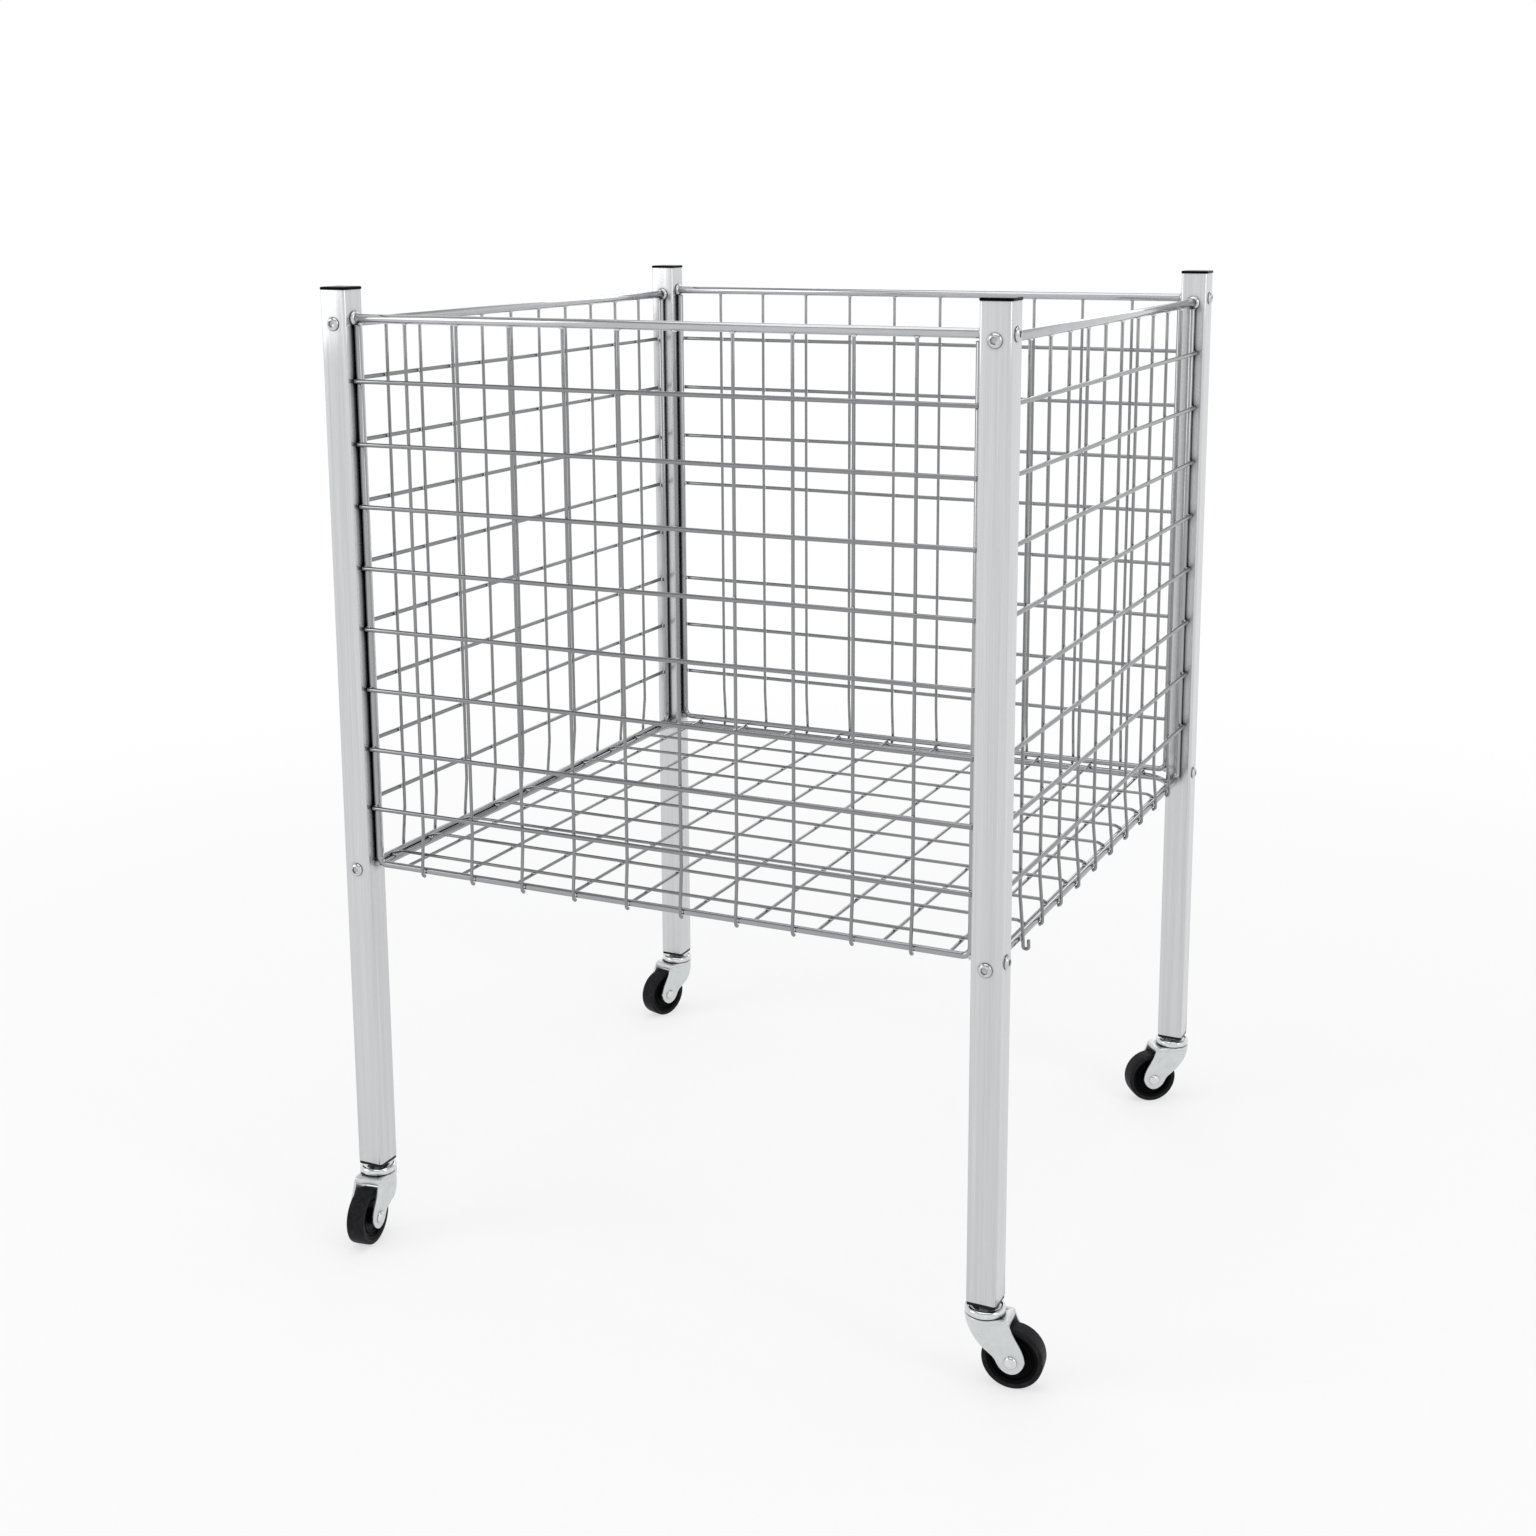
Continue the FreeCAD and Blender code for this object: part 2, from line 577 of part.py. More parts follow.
# ---------------------------------------------------------------- panels
bosses = []
for key in PANELS:
    x, y, turn = panel_base(key)
    top = rail_height(key) - D("rail_rad") - D("butt")
    foot = foot_height(key)
    side_x = span(key) - D("frame_gap")

    # U-bent frame rod; its uprights stand close to the posts and end under
    # the collars of the rail.
    name = "panel_frame_" + key
    b = new_body(name)
    rise = rail_height(key) - D("collar_rad") - D("butt")
    path = new_sketch(b, name + "_path", "XZ_Plane")
    bent_path(path, [(-side_x, rise), (-side_x, foot), (side_x, foot), (side_x, rise)],
              [D("frame_bend"), D("frame_bend")])
    prof = new_sketch(b, name + "_section", "XY_Plane", (0, 0, rise))
    circle(prof, -side_x, 0, D("frame_rad"))
    sweep(b, name + "_rod", prof, path)
    place(b, x, y, 0, turn)
    frame_body = node(b)

    # Saddled bosses that hold the frame's lower corners off the posts.
    for side in (-1, 1):
        name = "boss_%s_%s" % (key, "a" if side < 0 else "b")
        px, py, turn_deg = PANELS[key]
        barrel = doc.addObject("Part::Cylinder", name + "_barrel")
        bore = doc.addObject("Part::Cylinder", name + "_hole")
        for obj, rad in ((barrel, D("boss_rad")), (bore, D("rail_bore"))):
            obj.Radius = rad.val
            obj.setExpression("Radius", rad.text)
            obj.Height = D("boss_long").val
            obj.setExpression("Height", D("boss_long").text)
            # the barrel's axis runs from the post face towards the panel's middle
            t = math.radians(turn_deg)
            along = V3(-side * math.cos(t), -side * math.sin(t), 0)
            start = sx_of(side, span(key))
            obj.Placement = App.Placement(V3(0, 0, 0), App.Rotation(V3(0, 0, 1), along))
            for axis, unit, base in (("x", math.cos(t), x), ("y", math.sin(t), y)):
                q = start * round(unit) + base
                obj.setExpression("Placement.Base." + axis, q.text)
            obj.setExpression("Placement.Base.z", foot.text)
        tube = doc.addObject("Part::Cut", name + "_tube")
        tube.Base, tube.Tool = barrel, bore
        saddle = doc.addObject("Part::Cut", name)
        saddle.Base, saddle.Tool = tube, frame_body
        bosses.append(saddle)

    # Horizontal wires, welded on the outside of the uprights.
    name = "horizontal_wires_" + key
    b = new_body(name, many=True)
    out = D("frame_rad") + D("wire_rad")
    low = D("wire_top_z") - D("wire_pitch") * (D("wire_count") - 1)
    sk = new_sketch(b, name + "_section", "XY_Plane", (0, -out, low))
    r, half = D("wire_rad"), D("wire_half")
    polygon(sk, [(-half, 0), (-half, r * 0.55), (-(half - r * 0.45), r * 0.93), (-(half - r), r), (half - r, r),
                 (half - r * 0.45, r * 0.93), (half, r * 0.55), (half, 0)])
    f = revolve(b, name + "_wire", sk, (sk, ["H_Axis"]))
    line_pattern(b, name + "_rows", f, "Z_Axis", D("wire_pitch"), D("wire_count"))
    place(b, x, y, 0, turn)
    node(b)

    # Upright wires just inside them; each foot steps out over the lower rod
    # and curls under it.
    name = "vertical_wires_" + key
    b = new_body(name, many=True)
    inset = D("rod_rad")
    wrap = D("frame_rad") + D("rod_rad")
    hooked = key == "right"
    first = D("rod_pitch") * (D("rod_count") - 1) / 2
    start = -first + (D("rod_pitch") if hooked else Q(0))
    path = new_sketch(b, name + "_path", "YZ_Plane", (0, 0, start))
    tan_x = -wrap
    bent_path(path, [(-inset, top), (-inset, foot + D("wire_step")), (tan_x, foot + 4.2),
                     (tan_x, foot - wrap * 1.02), (-(wrap * 0.28), foot - wrap * 1.06)],
              [30.0, 20.0, wrap * 0.72])
    prof = new_sketch(b, name + "_section", "XY_Plane", (0, 0, top))
    circle(prof, start, -inset, D("rod_rad"))
    f = sweep(b, name + "_wire", prof, path)
    line_pattern(b, name + "_row", f, "X_Axis", D("rod_pitch"),
                 D("rod_count") - 1 if hooked else D("rod_count"))
    if hooked:
        # one wire of this panel ends in a longer hook below the lower rod
        deep = D("hook_deep")
        path = new_sketch(b, name + "_hook_path", "YZ_Plane", (0, 0, -first))
        bent_path(path, [(-inset, top), (-inset, foot + D("wire_step")), (tan_x, foot + 4.2),
                         (tan_x - 0.4, foot - deep), (tan_x - 5.2, foot - deep), (tan_x - 5.0, foot + 0.5)],
                  [30.0, 20.0, 2.2, 2.2])
        prof = new_sketch(b, name + "_hook_section", "XY_Plane", (0, 0, top))
        circle(prof, -first, -inset, D("rod_rad"))
        sweep(b, name + "_hook", prof, path)
    place(b, x, y, 0, turn)
    node(b)
group = doc.addObject("Part::Compound", "frame_corner_bosses")
group.Label = "frame_corner_bosses"
group.Links = bosses
node(group)

# ---------------------------------------------------------------- basket floor
name = "floor_frame"
b = new_body(name)
path = new_sketch(b, name + "_path", "XY_Plane", (0, 0, D("floor_z")))
fx, fb, ff = D("floor_half_x"), D("floor_back"), D("floor_front")
# bent round three sides; the front ends stop short of the front posts
bent_path(path, [(-fx, -ff), (-fx, fb), (fx, fb), (fx, -ff)], [D("floor_bend")] * 2)
prof = new_sketch(b, name + "_section", "XZ_Plane", (0, 0, ff))
circle(prof, -fx, D("floor_z"), D("frame_rad"))
sweep(b, name + "_rod", prof, path)
node(b)

name = "floor_wires_front_to_back"
b = new_body(name, many=True)
low_z = D("floor_z") + D("frame_rad") + D("rod_rad")
first = D("floor_pitch") * (D("floor_count") - 1) / 2
sk = new_sketch(b, name + "_section", "XY_Plane", (-first, 0, low_z))
# the front ends butt against the front panel's lower rod
r, back, near = D("rod_rad"), fb + 0.5, HY - D("frame_rad") - 0.3
polygon(sk, [(0, -near), (r * 0.55, -near), (r, -(near - r * 0.6)), (r, back - r * 0.6),
             (r * 0.55, back), (0, back)])
f = revolve(b, name + "_wire", sk, (sk, ["V_Axis"]))
line_pattern(b, name + "_row", f, "X_Axis", D("floor_pitch"), D("floor_count"))
node(b)

name = "floor_wires_side_to_side"
b = new_body(name, many=True)
high_z = low_z + D("rod_rad") * 2
path = new_sketch(b, name + "_path", "XZ_Plane", (0, 0, first))
bent_path(path, [(-(fx + 2.0), low_z + 0.3), (-(fx - 5), high_z), (fx - 5, high_z), (fx + 2.0, low_z + 0.3)],
          [6.0, 6.0])
prof = new_sketch(b, name + "_section", "YZ_Plane", (0, 0, -(fx + 2.0)))
circle(prof, -first, low_z + 0.3, D("rod_rad"))
f = sweep(b, name + "_wire", prof, path)
line_pattern(b, name + "_row", f, "Y_Axis", D("floor_pitch"), D("floor_count"))
node(b)


# ---------------------------------------------------------------- casters
# Each caster is drawn about its swivel axis, trailing along its own +X, and
# turned to its heading.
def plan_outline(sk, drum, flat, tail):
    """Round at the swivel axis, flat sided towards the trailing end."""
    drum, flat, tail = Q.of(drum), Q.of(flat), Q.of(tail)
    xc = math.sqrt(drum.val ** 2 - flat.val ** 2)
    a = math.atan2(flat.val, xc)
    g0 = sk.addGeometry(Part.LineSegment(V3(tail.val, -flat.val, 0), V3(tail.val, flat.val, 0)), False)
    g1 = sk.addGeometry(Part.LineSegment(V3(tail.val, flat.val, 0), V3(xc, flat.val, 0)), False)
    g2 = sk.addGeometry(Part.ArcOfCircle(Part.Circle(V3(0, 0, 0), V3(0, 0, 1), drum.val), a, 2 * math.pi - a), False)
    g3 = sk.addGeometry(Part.LineSegment(V3(xc, -flat.val, 0), V3(tail.val, -flat.val, 0)), False)
    add = sk.addConstraint
    add(Sketcher.Constraint("Coincident", g0, 2, g1, 1))
    add(Sketcher.Constraint("Coincident", g1, 2, g2, 1))
    add(Sketcher.Constraint("Coincident", g2, 2, g3, 1))
    add(Sketcher.Constraint("Coincident", g3, 2, g0, 1))
    add(Sketcher.Constraint("Coincident", g2, 3, -1, 1))
    add(Sketcher.Constraint("Horizontal", g1))
    add(Sketcher.Constraint("Horizontal", g3))
    n = add(Sketcher.Constraint("Radius", g2, drum.val))
    sk.setExpression("Constraints[%d]" % n, drum.text)
    pin_xy(sk, g0, 2, tail, flat)
    pin_xy(sk, g0, 1, tail, -flat)


def make_fork(name):
    b = new_body(name)
    tr, ax = D("trail"), D("wheel_rad")
    # side view: crown, leading edge slanting down to the axle, trailing edge
    sk = new_sketch(b, name + "_side_view", "XZ_Plane")
    lobe = D("fork_lobe")
    polygon(sk, [
        (-(D("fork_drum") + 1), D("fork_top")), (-(D("fork_drum") + 1), D("fork_rim_z") - 0.6),
        (Q(-14.2), D("fork_rim_z") - 2.0), (Q(-7.6), Q(46.8)), (Q(1.0), Q(37.2)),
        (tr - lobe * 0.9, ax + 1.4), (tr, ax), (tr + lobe * 0.9, ax + 1.4),
        (tr + lobe * 0.965, ax + 6.2), (Q(31.2), Q(39.6)), (Q(27.0), Q(47.2)), (Q(24.2), Q(54.0)),
        (D("fork_tail"), D("fork_rim_z") + 0.2), (D("fork_tail"), D("fork_top"))])
    pad(b, name + "_blank", sk, 46, both=True)
    sk = new_sketch(b, name + "_lobe_outline", "XZ_Plane")
    circle(sk, tr, ax, lobe)
    pad(b, name + "_lobe", sk, 46, both=True)
    # trim the blank to the plan outline
    sk = new_sketch(b, name + "_trim", "XY_Plane")
    polygon(sk, [(-90, -90), (90, -90), (90, 90), (-90, 90)])
    plan_outline(sk, D("fork_drum"), D("fork_flat"), 60)
    pocket(b, name + "_flanks", sk, 90, back=True)
    # crown rim
    sk = new_sketch(b, name + "_rim_outline", "XY_Plane", (0, 0, D("fork_rim_z")))
    plan_outline(sk, D("fork_drum") + D("fork_rim"), D("fork_flat") + D("fork_rim"), D("fork_tail"))
    pad(b, name + "_rim", sk, D("fork_top") - D("fork_rim_z"))
    # hollow between the legs and under the crown
    sk = new_sketch(b, name + "_hollow_outline", "XY_Plane")
    t = D("fork_thick")
    plan_outline(sk, D("fork_drum") - t, D("fork_flat") - t, D("fork_tail") - t)
    pocket(b, name + "_hollow", sk, D("fork_top") - t - 0.2, back=True)
    sk = new_sketch(b, name + "_gap_outline", "XY_Plane")
    w = D("fork_flat") - t
    polygon(sk, [(0, -w), (60, -w), (60, w), (0, w)])
    pocket(b, name + "_wheel_gap", sk, D("fork_lip_z"), back=True)
    # inner race and stem bore
    sk = new_sketch(b, name + "_race_outline", "XY_Plane", (0, 0, D("fork_top") - 0.5))
    circle(sk, 0, 0, D("race_rad"))
    pad(b, name + "_race", sk, D("race_high") + 0.5)
    sk = new_sketch(b, name + "_bore_outline", "XY_Plane")
    circle(sk, 0, 0, D("pin_bore"))
    pocket(b, name + "_bore", sk, 90, back=True)
    sk = new_sketch(b, name + "_axle_outline", "XZ_Plane")
    circle(sk, tr, ax, D("axle_hole"))
    p = pocket(b, name + "_axle_hole", sk, 60, both=True)
    doc.recompute()
    top = D("fork_top").val
    rim = edges_where(p, lambda e: all(abs(v.Point.z - top) < 1e-6 for v in e.Vertexes)
                      and e.BoundBox.XLength + e.BoundBox.YLength > 12
                      and not (e.Curve.TypeId == "Part::GeomCircle" and e.Curve.Radius < 15))
    chamfer(b, name + "_rim_edge", p, rim, 0.6)
    return b


def make_caster(key, sx, sy, head):
    px, py = sx_of(sx, HX), sx_of(sy, HY)
    turn = D(head)
    tr, ax = D("trail"), D("wheel_rad")
    pre = "caster_%s_" % key
    made = []

    # stem: riveted under the crown, threaded into the post's foot plug
    name = pre + "stem"
    b = new_body(name)
    sk = new_sketch(b, name + "_section", "XZ_Plane")
    under = D("fork_top") - D("fork_thick") - 0.6
    pr = D("pin_rad")
    polygon(sk, [(0, under - 2.4), (D("rivet_rad") - 1.2, under - 2.4), (D("rivet_rad"), under - 1.2),
                 (D("rivet_rad"), under), (pr, under), (pr, D("stem_top") - 0.8),
                 (pr - 0.8, D("stem_top")), (0, D("stem_top"))])
    revolve(b, name + "_turned", sk, (origin_item(b, "Z_Axis"), [""]))
    sk = new_sketch(b, name + "_hexagon", "XY_Plane", (0, 0, D("cup_top") - 1.6))
    polygon(sk, [(7.5 * math.cos(math.radians(60 * i)), 7.5 * math.sin(math.radians(60 * i))) for i in range(6)])
    pad(b, name + "_hex_collar", sk, D("post_foot") - D("plug_flange") - D("cup_top") + 1.5)
    made.append(b)

    # bearing cup: pressed ring with a dished top, fixed to the stem
    name = pre + "bearing_cup"
    b = new_body(name)
    sk = new_sketch(b, name + "_section", "XZ_Plane")
    cr, z0, z1 = D("cup_rad"), D("cup_foot"), D("cup_top")
    polygon(sk, [(D("pin_bore"), z1 - 3.0), (cr - 1.5, z1 - 3.0), (cr - 1.5, z0), (cr, z0), (cr, z1 - 2.2),
                 (cr - 0.5, z1 - 0.9), (cr - 1.4, z1 - 0.15), (cr - 2.2, z1), (cr - 3.0, z1 - 0.3),
                 (cr - 4.2, z1 - 1.4), (cr - 5.0, z1 - 1.7), (D("pin_bore"), z1 - 1.7)])
    revolve(b, name + "_pressed", sk, (origin_item(b, "Z_Axis"), [""]))
    made.append(b)

    made.append(make_fork(pre + "fork"))

    # axle bolt and its domed nut
    flat, hr, hh = D("fork_flat"), D("axle_head"), D("axle_head_high")
    name = pre + "axle_bolt"
    b = new_body(name)
    sk = new_sketch(b, name + "_section", "XY_Plane", (tr, 0, ax))
    ar = D("axle_rad")
    end = flat + hh * 0.62
    polygon(sk, [(0, end), (ar, end), (ar, -flat), (hr, -flat), (hr * 0.97, -(flat + hh * 0.35)),
                 (hr * 0.8, -(flat + hh * 0.72)), (hr * 0.5, -(flat + hh * 0.95)), (0, -(flat + hh))])
    revolve(b, name + "_turned", sk, (sk, ["V_Axis"]))
    made.append(b)
    name = pre + "axle_nut"
    b = new_body(name)
    sk = new_sketch(b, name + "_section", "XY_Plane", (tr, 0, ax))
    polygon(sk, [(ar + 0.02, flat), (hr, flat), (hr * 0.97, flat + hh * 0.35), (hr * 0.8, flat + hh * 0.72),
                 (hr * 0.5, flat + hh * 0.95), (0, flat + hh), (0, end + 0.02), (ar + 0.02, end + 0.02)])
    revolve(b, name + "_turned", sk, (sk, ["V_Axis"]))
    made.append(b)

    # wheel: hub, dished web and rim; the tyre is moulded round it
    rim, web, hub = D("rim_rad"), D("web_half"), D("hub_half")
    tread = D("tread_half")
    half_view = [(D("wheel_bore"), hub), (D("hub_rad") - 0.6, hub), (D("hub_rad"), hub - 0.6),
                 (D("hub_rad") + 0.7, web + 1.0), (Q(9.6), web), (Q(13.2), web), (Q(13.9), web + 1.0),
                 (Q(15.2), web + 1.0), (Q(15.9), web), (Q(17.4), web + 0.3), (Q(18.6), tread - 1.6),
                 (Q(19.6), tread - 0.9), (rim, tread - 0.7)]
    name = pre + "wheel"
    b = new_body(name)
    sk = new_sketch(b, name + "_section", "XY_Plane", (tr, 0, ax))
    polygon(sk, half_view + [(a, -q) for a, q in reversed(half_view)])
    revolve(b, name + "_moulding", sk, (sk, ["V_Axis"]))
    made.append(b)
    name = pre + "tyre"
    b = new_body(name)
    sk = new_sketch(b, name + "_section", "XY_Plane", (tr, 0, ax))
    wr = D("wheel_rad")
    half_tyre = [(rim, tread - 0.4), (rim + 1.6, tread), (wr - 1.0, tread), (wr - 0.35, tread - 0.5),
                 (wr - 0.12, tread - 2.2), (wr, tread - 5.0)]
    polygon(sk, half_tyre + [(a, -q) for a, q in reversed(half_tyre)])
    revolve(b, name + "_ring", sk, (sk, ["V_Axis"]))
    made.append(b)

    for b in made:
        place(b, px, py, 0, turn)
        node(b)

    # bearing balls between the cup and the crown
    name = "balls_" + key
    b = new_body(name, many=True)
    sk = new_sketch(b, name + "_section", "XZ_Plane", (D("ball_ring"), D("ball_z"), 0))
    r = D("ball_rad")
    g = sk.addGeometry(Part.ArcOfCircle(Part.Circle(V3(0, 0, 0), V3(0, 0, 1), r.val),
                                        -math.pi / 2, math.pi / 2), False)
    k = sk.addGeometry(Part.LineSegment(V3(0, r.val, 0), V3(0, -r.val, 0)), False)
    sk.addConstraint(Sketcher.Constraint("Coincident", g, 2, k, 1))
    sk.addConstraint(Sketcher.Constraint("Coincident", k, 2, g, 1))
    sk.addConstraint(Sketcher.Constraint("Coincident", g, 3, -1, 1))
    sk.addConstraint(Sketcher.Constraint("PointOnObject", k, 1, -2))
    n = sk.addConstraint(Sketcher.Constraint("Radius", g, r.val))
    sk.setExpression("Constraints[%d]" % n, r.text)
    f = revolve(b, name + "_ball", sk, (sk, ["V_Axis"]))
    polar_pattern(b, name + "_ring", f, D("ball_count"))
    place(b, px, py, 0)
    return b


balls = [make_caster(key, sx, sy, head) for key, (sx, sy, head) in CORNERS.items()]
group = doc.addObject("Part::Compound", "caster_bearing_balls")
group.Label = "caster_bearing_balls"
group.Links = balls
node(group)

# ---------------------------------------------------------------- check and write
doc.recompute()
bad = []
for obj in doc.Objects:
    if "Invalid" in obj.State or "Error" in obj.State:
        bad.append("%s %s" % (obj.Name, obj.State))
for obj in nodes:
    shape = obj.Shape
    if shape.isNull() or not shape.isValid() or not shape.Solids:
        bad.append("%s has no valid solid" % obj.Label)
# every round body must have the volume its section predicts
expect = {
    "top_rail_front": math.pi * (D("rail_rad").val ** 2 * 2 * FACE_X.val
                                 - 2 * D("rail_bore").val ** 2 * D("rail_bore_depth").val),
    "horizontal_wires_front": 8 * math.pi * D("wire_rad").val ** 2 * 2 * D("wire_half").val,
    "panel_frame_front": math.pi * D("frame_rad").val ** 2 * (
        2 * (D("rail_front_z").val - D("collar_rad").val - D("foot_front_z").val)
        + 2 * (FACE_X.val - D("frame_gap").val) - D("frame_bend").val * (4 - math.pi)),
}
for obj in nodes:
    if obj.Label in expect:
        ratio = obj.Shape.Volume / expect[obj.Label]
        if abs(ratio - 1) > 0.02:
            bad.append("%s has %.3f of its expected volume" % (obj.Label, ratio))
counts = {"post_screws": 16, "rail_end_collars": 8, "frame_corner_bosses": 8, "post_foot_plugs": 4,
          "caster_bearing_balls": 4 * int(D("ball_count").val),
          "floor_wires_front_to_back": 10, "floor_wires_side_to_side": 10}
for key in PANELS:
    counts["horizontal_wires_" + key] = 8
    counts["vertical_wires_" + key] = 10
for obj in nodes:
    want = counts.get(obj.Label, 1)
    if len(obj.Shape.Solids) != want:
        bad.append("%s has %d solids, not %d" % (obj.Label, len(obj.Shape.Solids), want))
if len({obj.Label for obj in nodes}) != len(nodes):
    bad.append("two parts share a name")
if bad:
    raise RuntimeError("; ".join(bad))

os.makedirs("parts", exist_ok=True)
for obj in nodes:
    obj.Shape.exportStep(os.path.join("parts", obj.Label + ".step"))
print("wrote %d parts" % len(nodes))
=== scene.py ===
import math
import random

import bmesh
import bpy
import numpy as np
from mathutils import Matrix, Vector


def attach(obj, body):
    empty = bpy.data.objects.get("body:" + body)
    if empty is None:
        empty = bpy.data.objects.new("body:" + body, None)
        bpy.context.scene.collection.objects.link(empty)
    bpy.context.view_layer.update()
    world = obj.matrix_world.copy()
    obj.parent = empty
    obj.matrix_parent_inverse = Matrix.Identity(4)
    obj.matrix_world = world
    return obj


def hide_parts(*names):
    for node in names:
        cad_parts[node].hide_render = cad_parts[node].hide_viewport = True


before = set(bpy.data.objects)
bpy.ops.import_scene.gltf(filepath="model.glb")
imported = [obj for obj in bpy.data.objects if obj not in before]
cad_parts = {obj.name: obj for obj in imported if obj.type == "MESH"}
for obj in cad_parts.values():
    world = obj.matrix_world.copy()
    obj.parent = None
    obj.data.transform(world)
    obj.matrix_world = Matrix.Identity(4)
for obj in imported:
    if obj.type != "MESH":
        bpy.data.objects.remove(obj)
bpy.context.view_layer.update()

MM = 0.001
HX = HY = 302.5            # post centres
FACE = 289.5               # inner faces of the posts
CORNERS = {"front_left": (-1, -1, -82.0), "front_right": (1, -1, 6.0),
           "back_left": (-1, 1, -108.0), "back_right": (1, 1, -142.0)}
PANELS = {"front": (0, -1, 0.0), "right": (1, 0, 90.0), "back": (0, 1, 180.0), "left": (-1, 0, 270.0)}
RAIL_Z = {"front": 860.0, "back": 860.0, "left": 855.6, "right": 855.6}
FOOT_Z = {"front": 365.0, "back": 365.0, "left": 360.6, "right": 360.6}
rnd = random.Random(7)
scene = bpy.context.scene


# ------------------------------------------------------------------ camera
def make_camera():
    cam = bpy.data.cameras.new("photo_view")
    cam.sensor_width = 36.0
    cam.lens = 48.406
    cam.shift_x = 0.0
    cam.shift_y = -0.1152
    cam.clip_start, cam.clip_end = 0.05, 100.0
    obj = bpy.data.objects.new("photo_view", cam)
    scene.collection.objects.link(obj)
    yaw, pitch, roll = (math.radians(a) for a in (25.3382, -10.7264, -0.2920))
    fwd = Vector((-math.sin(yaw) * math.cos(pitch), math.cos(yaw) * math.cos(pitch), math.sin(pitch)))
    right = Vector((math.cos(yaw), math.sin(yaw), 0.0))
    up = right.cross(fwd)
    r2 = math.cos(roll) * right + math.sin(roll) * up
    u2 = -math.sin(roll) * right + math.cos(roll) * up
    m = Matrix((r2, u2, -fwd)).transposed().to_4x4()
    m.translation = Vector((810.85, -1786.67, 959.57)) * MM
    obj.matrix_world = m
    scene.camera = obj


make_camera()


# ------------------------------------------------------------------ node helpers
class Mat:
    """A node material around one Principled shader."""

    def __init__(self, name, **sockets):
        self.m = bpy.data.materials.new(name)
        self.m.use_nodes = True
        self.t = self.m.node_tree
        self.t.nodes.clear()
        out = self.t.nodes.new("ShaderNodeOutputMaterial")
        self.b = self.t.nodes.new("ShaderNodeBsdfPrincipled")
        self.t.links.new(self.b.outputs[0], out.inputs[0])
        for key, value in sockets.items():
            self.set(key.replace("_", " "), value)

    def set(self, socket, value):
        s = self.b.inputs[socket]
        if isinstance(value, bpy.types.NodeSocket):
            self.t.links.new(value, s)
        else:
            s.default_value = value

    def node(self, kind, **props):
        n = self.t.nodes.new(kind)
        for k, v in props.items():
            setattr(n, k, v)
        return n

    def coords(self, kind, scale, rot=(0, 0, 0)):
        if kind == "UV":
            src = self.node("ShaderNodeUVMap", uv_map="UVMap").outputs[0]
        else:
            src = self.node("ShaderNodeTexCoord").outputs["Object"]
        mp = self.node("ShaderNodeMapping")
        mp.inputs["Scale"].default_value = scale
        mp.inputs["Rotation"].default_value = rot
        self.t.links.new(src, mp.inputs["Vector"])
        return mp.outputs[0]

    def noise(self, vec, scale=1.0, detail=3.0, rough=0.55, distortion=0.0):
        n = self.node("ShaderNodeTexNoise")
        n.inputs["Scale"].default_value = scale
        n.inputs["Detail"].default_value = detail
        n.inputs["Roughness"].default_value = rough
        n.inputs["Distortion"].default_value = distortion
        self.t.links.new(vec, n.inputs["Vector"])
        return n.outputs["Fac"]

    def voronoi(self, vec, scale=1.0, feature="F1"):
        n = self.node("ShaderNodeTexVoronoi", feature=feature)
        n.inputs["Scale"].default_value = scale
        self.t.links.new(vec, n.inputs["Vector"])
        return n

    def ramp(self, fac, stops, interp="LINEAR"):
        n = self.node("ShaderNodeValToRGB")
        n.color_ramp.interpolation = interp
        el = n.color_ramp.elements
        while len(el) > 1:
            el.remove(el[-1])
        for i, (pos, col) in enumerate(stops):
            e = el[0] if i == 0 else el.new(pos)
            e.position = pos
            e.color = (*col, 1.0) if len(col) == 3 else col
        self.t.links.new(fac, n.inputs["Fac"])
        return n.outputs["Color"]

    def remap(self, fac, a, b, lo=0.0, hi=1.0):
        n = self.node("ShaderNodeMapRange")
        n.inputs["From Min"].default_value = lo
        n.inputs["From Max"].default_value = hi
        n.inputs["To Min"].default_value = a
        n.inputs["To Max"].default_value = b
        self.t.links.new(fac, n.inputs["Value"])
        return n.outputs["Result"]

    def math(self, op, a, b=0.0):
        n = self.node("ShaderNodeMath", operation=op)
        for s, v in zip(n.inputs, (a, b)):
            if isinstance(v, bpy.types.NodeSocket):
                self.t.links.new(v, s)
            else:
                s.default_value = v
        return n.outputs[0]

    def mix(self, fac, a, b, blend="MIX"):
        n = self.node("ShaderNodeMix", data_type="RGBA", blend_type=blend)
        for s, v in ((n.inputs["Factor"], fac), (n.inputs[6], a), (n.inputs[7], b)):
            if isinstance(v, bpy.types.NodeSocket):
                self.t.links.new(v, s)
            elif isinstance(v, (int, float)):
                s.default_value = v
            else:
                s.default_value = (*v, 1.0)
        return n.outputs[2]

    def bump(self, height, strength, distance, normal=None):
        n = self.node("ShaderNodeBump")
        n.inputs["Strength"].default_value = strength
        n.inputs["Distance"].default_value = distance
        self.t.links.new(height, n.inputs["Height"])
        if normal is not None:
            self.t.links.new(normal, n.inputs["Normal"])
        return n.outputs[0]


    def painted_crevice_shade(self, colour, distance, lo, hi, dark=0.04):
        """Painted shade: darkens a colour by ambient occlusion where another surface stands very close."""
        n = self.node("ShaderNodeAmbientOcclusion", samples=16)
        n.inputs["Distance"].default_value = distance
        f = self.remap(n.outputs["AO"], dark, 1.0, lo, hi)
        return self.mix(1.0, colour, f, "MULTIPLY")


